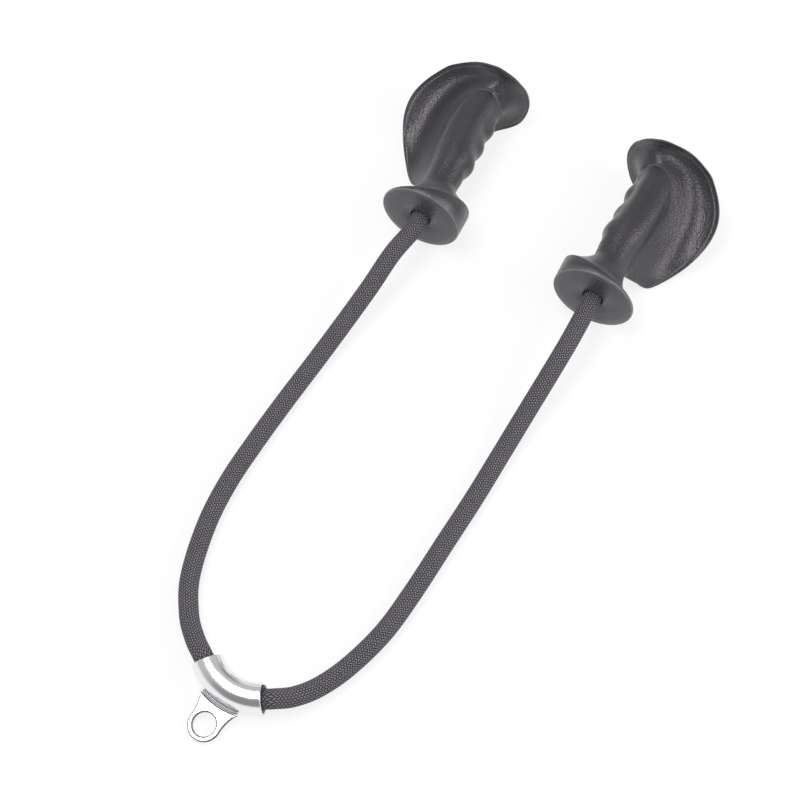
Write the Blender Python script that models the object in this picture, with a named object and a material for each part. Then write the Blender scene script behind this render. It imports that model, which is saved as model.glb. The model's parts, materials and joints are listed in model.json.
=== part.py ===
"""Triceps rope attachment, lying flat with its wings turned outward.

A braided rope runs from one moulded handle through a bent steel sleeve to the other handle. An eye tab is
welded to the outside of the sleeve's bend. Each handle turns on the rope, which a crimped ferrule and a
washer hold in a socket at the handle's far end, under a press-in plug.

Frame: +Y along the handles away from the sleeve, +X to the right, +Z up, floor at z = 0. Metres.
"""

import math

import bmesh
import bpy
import numpy as np
from mathutils import Matrix, Vector

# Fits
SEAT_GAP = 0.0003  # between pieces that touch
SOCKET_CLEARANCE = 0.0005  # washer, ferrule and plug in the handle's socket

# Rope
ROPE_RADIUS = 0.008
ROPE_STEP = 0.032  # spacing of points along the free stretches

# Where things lie: bores parallel to Y, the left handle a little further out
BORE_SPACING = 0.1658
BORE_STAGGER = 0.0096
FACE_Y = 0.1563  # mean Y of the two discs' front faces
SLEEVE_X = -0.0306  # the bend's middle, on the tube's centreline
SLEEVE_Y = -0.2806
SLEEVE_TURN = math.radians(-9.0)

# Handle moulding, measured along the bore from the disc's front face
HANDLE_LENGTH = 0.164
BORE_CLEARANCE = 0.00075
BORE_CHAMFER = 0.0012
DISC_RADIUS = 0.0362
DISC_DOME = 0.0008
DISC_EDGE = 0.0013  # where the edge's round meets the rim wall
DISC_CORNER = 0.0009  # crisp corner behind the rim wall
DISC_WALL_THIN = 0.003  # rim wall on the wing side
DISC_WALL_DEEP = 0.023  # rim wall at the thumb lug, on the finger side
NECK_RADIUS = 0.0154
NECK_START = 0.030
NECK_END = 0.039
GRIP_RADIUS = 0.0176
GRIP_RISE_START = 0.040
GRIP_RISE_LENGTH = 0.035
GRIP_EASE = 0.0008  # slimming towards the flange
GRIP_EASE_START = 0.115
GRIP_EASE_LENGTH = 0.025
TAPER_DEPTH = 0.0052  # slimming under the index finger, on the finger side's top
TAPER_START = 0.062
TAPER_LENGTH = 0.048
RIDGE_HEIGHT = 0.0026
RIDGE_PITCH = 0.0236
RIDGE_START = 0.0565  # valley before the first ridge
RIDGE_SKEW = 0.005  # the ridges lean round the grip
RIDGE_FADE = 0.006
RIDGE_BED = 0.001  # the bed that the ridges stand in
RIDGE_LIFT = 0.0003
RIDGE_COUNT = 3
WING_REACH = 0.0668  # outward from the bore's axis
RIM_THICKNESS = 0.0044
DISH_DEPTH = 0.011
TURN_REACH = 0.026  # how far the round from grip to wing runs each way
END_RADIUS = 0.017
UNDER_REACH = 0.023  # the flange's back is solid within this distance of the bore's axis

# Far-end socket and what sits in it
SOCKET_RADIUS = 0.0115
SOCKET_CHAMFER = 0.0008
SOCKET_DEPTH = 0.016
WASHER_THICKNESS = 0.0015
FERRULE_LENGTH = 0.009
FERRULE_WALL = 0.0022
FERRULE_ROUND = 0.0008
PLUG_THICKNESS = 0.003
PLUG_DOME = 0.0006
CRIMP_DEPTH = 0.0006

# Steel sleeve and eye
TUBE_RADIUS = 0.0127
TUBE_WALL = 0.0016
BEND_RADIUS = 0.0465
BEND_ANGLE = math.radians(71.0)
BEND_LEAD = 0.002  # the rope runs straight this far inside both mouths
LIP_ROUND = 0.0007
EYE_THICKNESS = 0.004
EYE_EDGE_ROUND = 0.0005
EYE_RADIUS = 0.0134
EYE_HOLE_RADIUS = 0.0094
EYE_REACH = 0.0320  # hole centre from the bend's centreline
EYE_ROOT_HALF = 0.0172
EYE_WAIST_OUT = 0.0130
EYE_WAIST_REACH = 0.0220
WELD_WIDTH = 0.0020
WELD_CROWN = 0.0006
RING_WIDTH = 0.0016
RING_OUTER = 0.0120  # the ring that stands outside the right mouth
RING_ROUND = 0.0005
RING_INSET = 0.019  # the left ring's depth inside its mouth
MOUTH_DRIFT = 0.0014  # the rope leaves the left mouth this far to the bend's outer side
DRIFT_REACH = 0.018  # where that drift begins, inside the mouth

# Routes of the rope's free stretches, from the handle's bore to the sleeve's mouth
LEFT_ROUTE = [
    (-0.0885, 0.1186, 0.0345),
    (-0.0931, 0.0829, 0.0265),
    (-0.1004, 0.0438, 0.0152),
    (-0.1061, 0.0084, 0.0090),
    (-0.1111, -0.0347, 0.0082),
    (-0.1152, -0.0800, 0.0082),
    (-0.1175, -0.1240, 0.0082),
    (-0.1147, -0.1656, 0.0082),
    (-0.1043, -0.2105, 0.0084),
    (-0.0892, -0.2391, 0.0094),
    (-0.0748, -0.2553, 0.0121),
]
RIGHT_ROUTE = [
    (0.0822, 0.1072, 0.0346),
    (0.0789, 0.0720, 0.0268),
    (0.0744, 0.0334, 0.0158),
    (0.0707, -0.0067, 0.0088),
    (0.0680, -0.0493, 0.0082),
    (0.0639, -0.0960, 0.0082),
    (0.0595, -0.1466, 0.0082),
    (0.0539, -0.1856, 0.0082),
    (0.0424, -0.2220, 0.0082),
    (0.0296, -0.2474, 0.0092),
    (0.0168, -0.2638, 0.0126),
]
ROUTE_LEAD = 0.014  # straight run where a stretch meets a bore
MOUTH_LEAD = 0.006  # and a mouth

BORE_RADIUS = ROPE_RADIUS + BORE_CLEARANCE
AXIS_HEIGHT = DISC_RADIUS
# The tab droops until its tip rests on the floor beside the tube.
EYE_TILT = math.asin((TUBE_RADIUS - EYE_THICKNESS / 2) / (EYE_REACH + EYE_RADIUS))

# Facets
COLUMNS = 42
BACK_RINGS = 4
GRIP_RINGS = 20
DISH_RINGS = 7
UNDER_RINGS = 4
CLOSE_RINGS = 4
END_RINGS = 6
EVENING = 4
TUBE_SIDES = 24
INNER_SIDES = 16  # pieces that don't show
TUBE_RINGS = 10
EYE_POINTS = 20
WELD_RINGS = 10
BEND_POINTS = 10
ROPE_RESOLUTION = 4
CREASE = math.radians(38.0)

# Directions round a handle's bore: 0 points outward along the wing, 90 degrees up
FINGER_ANGLE = math.radians(190.0)
FINGER_SPREAD = math.radians(48.0)
TAPER_ANGLE = math.radians(150.0)
TAPER_SPREAD = math.radians(40.0)
DISH_SKEW = 1.05  # above 1 the dish is deepest nearer to the rim

# The flange and wing, as spokes that leave the grip and end at the rim, clockwise from the finger side. Each
# has its rim's place (of WING_REACH, DISC_RADIUS and HANDLE_LENGTH), its direction in degrees, where it leaves
# the grip (of HANDLE_LENGTH), its dish (of DISH_DEPTH), how far its thickness leans outward and down, how much
# it thickens towards the grip (of RIM_THICKNESS), and how wide the round from the grip is (of TURN_REACH).
SPOKE_SHARES = [
    (-0.494, -0.083, 0.954, -176, 0.841, 0.36, 0, 0, 1, 0.06),
    (-0.427, 0.304, 0.957, 158, 0.848, 0.36, 0, 0, 1, 0.06),
    (-0.347, 0.547, 0.948, 141, 0.855, 0.36, 0, 0.05, 1, 0.06),
    (-0.254, 0.760, 0.939, 124, 0.860, 0.36, 0, 0.1, 1, 0.06),
    (-0.090, 0.925, 0.936, 104, 0.866, 0.38, 0, 0.2, 1, 0.06),
    (0.045, 0.870, 0.957, 90, 0.866, 0.42, 0.1, 0.2, 1, 0.08),
    (0.319, 0.580, 0.994, 66, 0.860, 0.55, 0.2, 0.3, 1, 0.12),
    (0.596, 0.423, 0.951, 43, 0.823, 0.75, 0.4, 0.5, 1, 0.3),
    (0.719, 0.304, 0.918, 33, 0.787, 0.86, 0.4, 0.6, 1, 0.5),
    (0.906, 0.069, 0.826, 17, 0.695, 1.00, 0.3, 0.8, 1, 0.85),
    (0.997, -0.133, 0.720, 2, 0.598, 1.00, 0.1, 0.9, 1, 1),
    (0.976, -0.387, 0.612, -11, 0.494, 0.86, 0, 1, 1, 1),
    (0.849, -0.704, 0.502, -23, 0.384, 0.59, 0, 1, 1, 1),
    (0.701, -0.856, 0.410, -32, 0.305, 0.32, 0, 1, 0.8, 1),
    (0.584, -0.925, 0.345, -39, 0.245, 0.11, 0, 0.6, 0.3, 1),
    (0.484, -0.945, 0.309, -43, 0.232, 0.00, 0, 0.2, 0, 1),
    (0.385, -0.890, 0.308, -48, 0.232, 0.00, 0.2, 0, 0, 1),
    (0.303, -0.800, 0.345, -56, 0.280, 0.05, 0.5, -0.3, 0, 1),
    (0.210, -0.704, 0.537, -70, 0.463, 0.14, 1, -0.2, 0.2, 1),
    (0.045, -0.829, 0.707, -88, 0.646, 0.23, 0.9, 0, 0.5, 0.9),
    (-0.090, -0.953, 0.811, -102, 0.738, 0.32, 0.6, 0, 0.8, 0.7),
    (-0.195, -0.967, 0.860, -115, 0.793, 0.38, 0.3, 0, 1, 0.5),
    (-0.299, -0.953, 0.896, -128, 0.829, 0.45, 0, 0, 1, 0.3),
    (-0.404, -0.870, 0.936, -143, 0.841, 0.38, 0, 0, 1, 0.15),
    (-0.479, -0.497, 0.951, -159, 0.841, 0.36, 0, 0, 1, 0.08),
]
FIRST_COLUMN = math.radians(-181.0)  # direction of the first of the evenly spaced columns on disc and bore


FINISHES = {
    "rubber": ((0.016, 0.016, 0.017), 0.0, 0.5),
    "rope": ((0.035, 0.035, 0.040), 0.0, 0.85),
    "polished": ((0.80, 0.80, 0.82), 1.0, 0.18),
    "steel": ((0.55, 0.56, 0.57), 1.0, 0.4),
    "alloy": ((0.70, 0.71, 0.72), 1.0, 0.35),
    "plastic": ((0.025, 0.025, 0.027), 0.0, 0.6),
}


def material(name, colour, metallic, roughness):
    made = bpy.data.materials.new(name)
    made.use_nodes = True
    shader = made.node_tree.nodes["Principled BSDF"]
    shader.inputs["Base Color"].default_value = (*colour, 1)
    shader.inputs["Metallic"].default_value = metallic
    shader.inputs["Roughness"].default_value = roughness
    made.diffuse_color = (*colour, 1)
    return made


def pivot(name, place, parent=None):
    """An empty on a joint's axis. The pieces that move about it are its children."""
    empty = bpy.data.objects.new(name, None)
    bpy.context.collection.objects.link(empty)
    empty["place"] = tuple(place)
    empty.parent = parent
    empty.location = Vector(place) - (Vector(parent["place"]) if parent else Vector())
    return empty


def link(name, data, finish, carrier=None):
    piece = bpy.data.objects.new(name, data)
    bpy.context.collection.objects.link(piece)
    data.materials.append(material(name, *FINISHES[finish]))
    if carrier:
        piece.parent = carrier
        piece.location = -Vector(carrier["place"])
    return piece


def body(name, points, faces, finish, carrier=None):
    mesh = bpy.data.meshes.new(name)
    mesh.from_pydata([tuple(map(float, p)) for p in points], [], faces)
    work = bmesh.new()
    work.from_mesh(mesh)
    bmesh.ops.recalc_face_normals(work, faces=work.faces)
    work.to_mesh(mesh)
    work.free()
    mesh.shade_smooth()
    mesh.set_sharp_from_angle(angle=CREASE)
    return link(name, mesh, finish, carrier)


def around(rings):
    """Points and faces of a skin that closes on itself both along and round."""
    turns, count = rings.shape[:2]
    faces = []
    for a in range(turns):
        b = (a + 1) % turns
        for i in range(count):
            j = (i + 1) % count
            faces.append((a * count + i, a * count + j, b * count + j, b * count + i))
    return rings.reshape(-1, 3), faces


def capped(rings):
    """Points and faces of a skin that closes round, with a flat face on its first and last rings."""
    turns, count = rings.shape[:2]
    points, faces = around(rings)
    faces = faces[: (turns - 1) * count]
    faces.append(tuple(range(count)))
    faces.append(tuple(range((turns - 1) * count, turns * count)))
    return points, faces


def moved(matrix, points):
    turn = np.array(matrix.to_3x3())
    return points @ turn.T + np.array(matrix.translation)


def turned(profile, sides, matrix):
    """Rings of a profile of (radius, distance along Z), turned about Z and placed."""
    angles = np.arange(sides) * (2 * math.pi / sides)
    rings = [np.stack([r * np.cos(angles), r * np.sin(angles), np.full(sides, d)], 1) for r, d in profile]
    return moved(matrix, np.array(rings))


def through(rows, steps, closed=False):
    """Rows read at even steps from the Catmull-Rom curve through them."""
    rows = np.asarray(rows, float)
    count = len(rows)
    if closed:
        x = np.linspace(0, count, steps, endpoint=False)
        i = np.floor(x).astype(int)
        picks = [rows[(i + k) % count] for k in (-1, 0, 1, 2)]
    else:
        rows = np.vstack([2 * rows[0] - rows[1], rows, 2 * rows[-1] - rows[-2]])
        x = np.linspace(0, count - 1, steps)
        i = np.minimum(np.floor(x).astype(int), count - 2)
        picks = [rows[i + k] for k in (0, 1, 2, 3)]
    f = (x - i)[:, None]
    a, b, c, d = picks
    return (2 * b + (c - a) * f + (2 * a - 5 * b + 4 * c - d) * f**2 + (3 * b - a - 3 * c + d) * f**3) / 2


def ease(x):
    x = np.clip(x, 0, 1)
    return x * x * (3 - 2 * x)


def near(angle, centre, spread):
    off = (angle - centre + math.pi) % (2 * math.pi) - math.pi
    return np.exp(-((off / spread) ** 2))


# Handle moulding. Local axes: u outward from the bore, v up, w along the bore from the disc's face.


def wall_depth(angle):
    """Length of the disc's rim wall: thin on the wing side, deep where the thumb lug is."""
    lug = ((1 - math.cos(angle)) / 2) ** 2
    return DISC_WALL_THIN + (DISC_WALL_DEEP - DISC_WALL_THIN) * lug, lug


def disc_back(angle, w):
    """Radius of the disc's back, which sweeps from the rim wall down to the neck."""
    depth, lug = wall_depth(angle)
    left = max(0.0, 1 - (w - depth) / (NECK_END - depth))
    sweep = (1 - lug) * left**2.6 + lug * left**1.5
    return NECK_RADIUS + (DISC_RADIUS - DISC_CORNER - NECK_RADIUS) * sweep


def grip_radius(angle, w):
    """Radius of the grip with its taper under the index finger and the ridges on the finger side."""
    full = GRIP_RADIUS - GRIP_EASE * ease((w - GRIP_EASE_START) / GRIP_EASE_LENGTH)
    radius = NECK_RADIUS + (full - NECK_RADIUS) * ease((w - GRIP_RISE_START) / GRIP_RISE_LENGTH)
    radius -= TAPER_DEPTH * ease((w - TAPER_START) / TAPER_LENGTH) * near(angle, TAPER_ANGLE, TAPER_SPREAD)
    leaning = w - RIDGE_SKEW * math.sin(angle)
    last = RIDGE_START + RIDGE_COUNT * RIDGE_PITCH
    wave = (1 - math.cos(2 * math.pi * (leaning - RIDGE_START) / RIDGE_PITCH)) / 2
    fade = ease((leaning - RIDGE_START) / RIDGE_FADE + 0.5) * ease((last - leaning) / RIDGE_FADE + 0.5)
    bed = ease((leaning - RIDGE_START) / RIDGE_FADE + 1) * ease((last - leaning) / RIDGE_FADE + 1)
    rise = RIDGE_HEIGHT * wave * fade - RIDGE_BED * bed + RIDGE_LIFT
    return radius + rise * near(angle, FINGER_ANGLE, FINGER_SPREAD)


def spokes():
    """The hand-chosen spokes in metres, with the angle running on past a full turn, read at each column."""
    shares = np.array(SPOKE_SHARES, float)
    rows = shares.copy()
    rows[:, 0] *= WING_REACH
    rows[:, 1] *= DISC_RADIUS
    rows[:, 2] *= HANDLE_LENGTH
    rows[:, 4] *= HANDLE_LENGTH
    rows[:, 5] *= DISH_DEPTH
    rows[:, 9] *= TURN_REACH
    drift = 2 * math.pi * np.arange(len(rows)) / len(rows)
    rows[:, 3] = np.unwrap(np.radians(rows[:, 3])) + drift
    read = through(rows, COLUMNS, closed=True)
    read[:, 3] -= 2 * math.pi * np.arange(COLUMNS) / COLUMNS
    return read


def handle_column(spoke, even):
    """One lengthwise section of the moulding, from the bore's front edge round the outside and back."""
    rim = spoke[:3]
    angle, leave, dish, lean, down, bulk, reach = spoke[3:]

    def out(direction, radius, w):
        return np.array([radius * math.cos(direction), radius * math.sin(direction), w])

    depth = wall_depth(even)[0]
    corner = max(depth - DISC_CORNER, 0.9 * DISC_EDGE + 0.1 * depth)
    dome = DISC_DOME
    column = [
        out(even, BORE_RADIUS, BORE_CHAMFER),
        out(even, BORE_RADIUS + BORE_CHAMFER, 0.0),
        out(even, (DISC_RADIUS + BORE_RADIUS) / 2.4, -dome),
        out(even, 0.8 * DISC_RADIUS, -0.75 * dome),
        out(even, DISC_RADIUS - DISC_EDGE, 0.0),
        out(even, DISC_RADIUS - DISC_EDGE / 4, 0.4 * DISC_EDGE),
        out(even, DISC_RADIUS, DISC_EDGE),
        out(even, DISC_RADIUS, (DISC_EDGE + corner) / 2),
        out(even, DISC_RADIUS, corner),
        out(even, DISC_RADIUS - DISC_CORNER, depth),
    ]
    for w in np.linspace(depth, NECK_START, BACK_RINGS + 1)[1:]:
        column.append(out(even, disc_back(even, w), w))

    def grip(w):
        turn = even + (angle - even) * ease((w - NECK_START) / GRIP_RISE_LENGTH)
        radius = grip_radius(turn, w)
        if w < NECK_END:
            radius = max(radius, disc_back(turn, w))
        return out(turn, radius, w)

    start = grip(leave)
    chord = rim - start
    inward = chord / np.linalg.norm(chord)
    thick = np.array([lean, -down, 1 - 0.7 * down])
    thick -= inward * (thick @ inward)
    thick /= np.linalg.norm(thick)

    def inner(t):
        return start + chord * t + thick * dish * math.sin(math.pi * t**DISH_SKEW)

    def outer(t):
        return inner(t) + thick * RIM_THICKNESS * (1 + bulk * (1 - t))

    reach = min(reach, 0.8 * (leave - NECK_START), 0.5 * np.linalg.norm(chord))
    reach_share = reach / np.linalg.norm(chord)

    def round_off(s):
        return (1 - s) ** 2 * grip(leave - reach) + 2 * s * (1 - s) * start + s * s * inner(reach_share)

    for w in np.linspace(NECK_START, leave, GRIP_RINGS + 1)[1:]:
        past = (w - leave + reach) / reach
        column.append(round_off(past / 2) if past > 0 else grip(w))
    for t in np.linspace(0, 1, DISH_RINGS + 1)[1:]:
        column.append(round_off(0.5 + t / reach_share / 2) if t < reach_share else inner(t))
    column.append(rim + RIM_THICKNESS * (0.3 * thick + 0.25 * inward))
    column.append(rim + RIM_THICKNESS * (0.8 * thick + 0.2 * inward))
    far, half = (np.hypot(*outer(t)[:2]) for t in (1.0, 0.5))
    stop = 0.5 + 0.5 * max(UNDER_REACH - half, 0.0) / max(far - half, RIM_THICKNESS)
    stop = min(stop, 0.9)
    column += [outer(t) for t in np.linspace(0.98, stop, UNDER_RINGS)]
    mid = outer(stop)
    back = mid - outer(stop + 0.02)
    back /= np.linalg.norm(back)
    aside = (math.atan2(mid[1], mid[0]) - angle + math.pi) % (2 * math.pi) - math.pi
    angle += 0.6 * aside
    end = out(angle, END_RADIUS, HANDLE_LENGTH)
    spare = max(np.hypot(*mid[:2]) - UNDER_REACH, 0.0)
    first = mid + back * (spare / 2 + RIM_THICKNESS)
    second = end + out(angle, min(0.35 * np.linalg.norm(end - mid), 0.4 * np.linalg.norm(chord)), 0.0)
    for t in np.linspace(0, 1, CLOSE_RINGS + 1)[1:]:
        s = 1 - t
        column.append(s**3 * mid + 3 * s**2 * t * first + 3 * s * t**2 * second + t**3 * end)
    column += [
        out(angle, SOCKET_RADIUS + SOCKET_CHAMFER, HANDLE_LENGTH),
        out(angle, SOCKET_RADIUS, HANDLE_LENGTH - SOCKET_CHAMFER),
        out(angle, SOCKET_RADIUS, HANDLE_LENGTH - SOCKET_DEPTH),
    ]
    for share in (0, 1 / 3, 2 / 3):
        w = (HANDLE_LENGTH - SOCKET_DEPTH) * (1 - share) + BORE_CHAMFER * share
        column.append(out(angle + (even - angle) * share, BORE_RADIUS, w))
    return column


def handle_rings(side):
    read = spokes()
    evens = FIRST_COLUMN - 2 * math.pi * np.arange(COLUMNS) / COLUMNS
    evens += 2 * math.pi * np.round((read[:, 3] - evens).mean() / (2 * math.pi))
    rings = np.array([handle_column(spoke, even) for spoke, even in zip(read, evens)])
    under = len(rings[0]) - END_RINGS - CLOSE_RINGS - UNDER_RINGS
    for _ in range(EVENING):  # the underside runs smoothly from spoke to spoke
        blend = (np.roll(rings, 1, 0) + 2 * rings + np.roll(rings, -1, 0)) / 4
        for i in range(UNDER_RINGS + CLOSE_RINGS):
            share = min(1.0, (i + 1) / UNDER_RINGS)
            rings[:, under + i] += share * (blend[:, under + i] - rings[:, under + i])
    u, v, w = rings[..., 0], rings[..., 1], rings[..., 2]
    return np.stack([u * side, w, v], -1) + face_centre(side)


def face_centre(side):
    return np.array([side * BORE_SPACING / 2, FACE_Y - side * BORE_STAGGER / 2, AXIS_HEIGHT])


def along_bore(side, w):
    """Places things turned about Z on the handle's bore, w from the disc's face."""
    place = Matrix.Translation(Vector(face_centre(side)) + Vector((0, w, 0)))
    return place @ Matrix.Rotation(-math.pi / 2, 4, "X")


# Sleeve. Local axes: X across the mouths, Y towards the handles, Z out of the bend's plane.

SLEEVE = (
    Matrix.Translation((SLEEVE_X, SLEEVE_Y, TUBE_RADIUS))
    @ Matrix.Rotation(SLEEVE_TURN, 4, "Z")
    @ Matrix.Rotation(EYE_TILT, 4, "X")
)


def at_bend(angle, radius=BEND_RADIUS, height=0.0):
    """A point of the bend, by its angle from the middle and its distance from the bend's centre."""
    return np.array([radius * math.sin(angle), BEND_RADIUS - radius * math.cos(angle), height])


def bend_frame(angle):
    """Z along the tube, towards the right mouth."""
    place = SLEEVE @ Matrix.Translation(at_bend(angle)) @ Matrix.Rotation(angle, 4, "Z")
    return place @ Matrix.Rotation(math.pi / 2, 4, "Y")


def sleeve_rings():
    half, inside = BEND_ANGLE / 2, TUBE_RADIUS - TUBE_WALL
    soft = LIP_ROUND / BEND_RADIUS
    corner = 0.3
    lip = [
        (TUBE_RADIUS, soft),
        (TUBE_RADIUS - corner * LIP_ROUND, corner * soft),
        (TUBE_RADIUS - LIP_ROUND, 0.0),
        (inside + LIP_ROUND, 0.0),
        (inside + corner * LIP_ROUND, corner * soft),
        (inside, soft),
    ]
    spans = np.linspace(-half + soft, half - soft, TUBE_RINGS + 1)
    stations = [(TUBE_RADIUS, a) for a in spans[1:-1]]
    stations += [(r, half - s) for r, s in lip]
    stations += [(inside, a) for a in spans[-2:0:-1]]
    stations += [(r, s - half) for r, s in reversed(lip)]
    return np.array([turned([(r, 0.0)], TUBE_SIDES, bend_frame(a))[0] for r, a in stations])


def eye_outline():
    """The tab's outline round its hole, from the right root corner clockwise, in the bend's plane."""
    root = BEND_RADIUS + TUBE_RADIUS + WELD_WIDTH + 2 * SEAT_GAP
    spread = math.asin(EYE_ROOT_HALF / root)
    corner = at_bend(spread, root)[:2]
    waist = np.array([EYE_WAIST_OUT, -EYE_WAIST_REACH])
    lift = math.radians(8.0)
    centre = np.array([0.0, -EYE_REACH])
    join = centre + EYE_RADIUS * np.array([math.cos(lift), math.sin(lift)])
    side = [(1 - t) ** 2 * corner + 2 * t * (1 - t) * waist + t * t * join for t in np.linspace(0, 1, 8)]
    tip = [
        centre + EYE_RADIUS * np.array([math.cos(a), math.sin(a)])
        for a in np.linspace(lift, -math.pi - lift, EYE_POINTS)
    ]
    other = [p * [-1, 1] for p in reversed(side)]
    top = [at_bend(a, root)[:2] for a in np.linspace(-spread, spread, WELD_RINGS)]
    return np.array(side + tip[1:-1] + other + top[1:-1]), centre


def eye_rings():
    outline, centre = eye_outline()
    ahead, behind = np.roll(outline, -1, 0) - outline, outline - np.roll(outline, 1, 0)
    normals = [
        np.array([-d[1], d[0]]) / np.linalg.norm(d)
        for d in ahead / np.linalg.norm(ahead, axis=1)[:, None] + behind / np.linalg.norm(behind, axis=1)[:, None]
    ]
    inset = outline - np.array(normals) * EYE_EDGE_ROUND
    toward = (outline - centre) / np.linalg.norm(outline - centre, axis=1)[:, None]
    hole, lead = (centre + toward * r for r in (EYE_HOLE_RADIUS, EYE_HOLE_RADIUS + EYE_EDGE_ROUND))
    face, edge = EYE_THICKNESS / 2, EYE_THICKNESS / 2 - EYE_EDGE_ROUND
    loops = [
        (inset, face), (outline, edge), (outline, -edge), (inset, -face),
        (lead, -face), (hole, -edge), (hole, edge), (lead, face),
    ]
    rings = np.array([np.column_stack([loop, np.full(len(loop), z)]) for loop, z in loops])
    return moved(SLEEVE, rings)


def weld_rings():
    """A bead along the tab's root. Its back follows the tube, and it thins out at both ends."""
    root = BEND_RADIUS + TUBE_RADIUS + WELD_WIDTH + 2 * SEAT_GAP
    spread = math.asin(EYE_ROOT_HALF / root)
    seat = TUBE_RADIUS + SEAT_GAP
    rings = []
    for angle in np.linspace(-spread, spread, WELD_RINGS + 1):
        fullness = 0.45 + 0.55 * ease((spread - abs(angle)) / spread * 4)
        half = (EYE_THICKNESS / 2 + WELD_CROWN) * fullness
        width = WELD_WIDTH * (0.4 + 0.6 * fullness)
        section = []
        for z in np.linspace(-half, half, 5):
            section.append(at_bend(angle, BEND_RADIUS + math.sqrt(seat**2 - z**2), z))
        for share in (0.5, 1.0):
            flat = half - WELD_CROWN * share**2
            section.append(at_bend(angle, BEND_RADIUS + seat + width * share, flat))
        for share in (1.0, 0.5):
            flat = half - WELD_CROWN * share**2
            section.append(at_bend(angle, BEND_RADIUS + seat + width * share, -flat))
        rings.append(section)
    return moved(SLEEVE, np.array(rings))


def ring_rings(outer, sides, frame):
    """A rubber ring round the rope, centred on a frame whose Z runs along the rope."""
    inside = ROPE_RADIUS + SEAT_GAP
    half = RING_WIDTH / 2
    soft = min(RING_ROUND, (outer - inside) / 2.2)
    corner = 0.3
    profile = [
        (inside, -half + soft), (inside + corner * soft, -half + corner * soft), (inside + soft, -half),
        (outer - soft, -half), (outer - corner * soft, -half + corner * soft), (outer, -half + soft),
        (outer, half - soft), (outer - corner * soft, half - corner * soft), (outer - soft, half),
        (inside + soft, half), (inside + corner * soft, half - corner * soft), (inside, half - soft),
    ]
    return turned(profile, sides, frame)


# Rope


def rope(name, points, finish, carrier=None):
    curve = bpy.data.curves.new(name, "CURVE")
    curve.dimensions = "3D"
    curve.bevel_depth = ROPE_RADIUS
    curve.bevel_resolution = ROPE_RESOLUTION
    curve.use_fill_caps = True
    spline = curve.splines.new("POLY")
    spline.points.add(len(points) - 1)
    for point, place in zip(spline.points, points):
        point.co = (*map(float, place), 1)
        point.tilt = 0
    return link(name, curve, finish, carrier)


def mouth_frame(side, beyond=0.0):
    """Z along the rope towards the right mouth, at a distance straight out from one mouth."""
    return bend_frame(side * BEND_ANGLE / 2) @ Matrix.Translation((0, 0, side * beyond))


def rope_at(angle):
    """The rope's middle inside the sleeve, drifting to the bend's outer side at the left mouth."""
    inside = (angle + BEND_ANGLE / 2) * BEND_RADIUS
    return at_bend(angle, BEND_RADIUS + MOUTH_DRIFT * max(0.0, 1 - inside / DRIFT_REACH) ** 2)


def mouth(side):
    """Where a free stretch meets the rope in the sleeve, and the direction out of it."""
    angle = side * BEND_ANGLE / 2
    heading = side * np.array([math.cos(angle), math.sin(angle), 0.0])
    if side > 0:
        place = at_bend(angle) + heading * (RING_WIDTH + 2 * SEAT_GAP)
    else:
        place = rope_at(angle)
        heading += 2 * MOUTH_DRIFT / DRIFT_REACH * np.array([math.sin(angle), -math.cos(angle), 0.0])
        heading /= np.linalg.norm(heading)
    return moved(SLEEVE, place), np.array(SLEEVE.to_3x3()) @ heading


def free_stretch(side, route):
    """Even points on a smooth curve from the disc's face to the sleeve's mouth."""
    face = face_centre(side)
    forward = np.array([0, -1, 0])
    end, heading = mouth(side)
    leave, meet = face + forward * SEAT_GAP, end + heading * SEAT_GAP
    stops = [leave, face + forward * ROUTE_LEAD, *map(np.array, route), end + heading * MOUTH_LEAD, meet]
    fine = through(stops, len(stops) * 60 - 59)[60:-60]
    run = np.concatenate([[0], np.cumsum(np.linalg.norm(np.diff(fine, axis=0), axis=1))])
    marks = np.linspace(0, run[-1], max(4, round(run[-1] / ROPE_STEP)) + 1)
    even = np.stack([np.interp(marks, run, fine[:, k]) for k in range(3)], 1)
    return np.vstack([leave, even, meet])


def crimp_profile():
    """A ferrule's section, with two crimped grooves."""
    inside, outer = ROPE_RADIUS + SEAT_GAP, ROPE_RADIUS + SEAT_GAP + FERRULE_WALL
    groove_shares = (0.28, 0.35, 0.42, 0.58, 0.65, 0.72)
    depths = (0.0, CRIMP_DEPTH, 0.0) * 2
    profile = [(inside, 0.0), (outer - FERRULE_ROUND, 0.0), (outer, FERRULE_ROUND)]
    profile += [(outer - d, s * FERRULE_LENGTH) for s, d in zip(groove_shares, depths)]
    profile += [(outer, FERRULE_LENGTH - FERRULE_ROUND), (outer - FERRULE_ROUND, FERRULE_LENGTH)]
    profile += [(inside, FERRULE_LENGTH)]
    return profile


def build_sleeve():
    body("sleeve_tube", *around(sleeve_rings()), "polished")
    body("eye_tab", *around(eye_rings()), "polished")
    body("eye_weld", *capped(weld_rings()), "steel")

    half = BEND_ANGLE / 2
    bend = [moved(SLEEVE, rope_at(a)) for a in np.linspace(-half, half, BEND_POINTS)[1:-1]]
    first, heading = mouth(-1)
    last = [mouth_frame(1, beyond).translation for beyond in (-BEND_LEAD, 0)]
    rope("rope_bend", [first, first - heading * BEND_LEAD, *bend, *last, mouth(1)[0]], "rope")

    standing = mouth_frame(1, SEAT_GAP + RING_WIDTH / 2)
    body("right_mouth_ring", *around(ring_rings(RING_OUTER, TUBE_SIDES, standing)), "rubber")
    depth = (RING_INSET + RING_WIDTH / 2) / BEND_RADIUS
    hidden = ring_rings(TUBE_RADIUS - TUBE_WALL - SEAT_GAP, INNER_SIDES, bend_frame(depth - half))
    body("left_mouth_ring", *around(hidden), "rubber")


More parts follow.
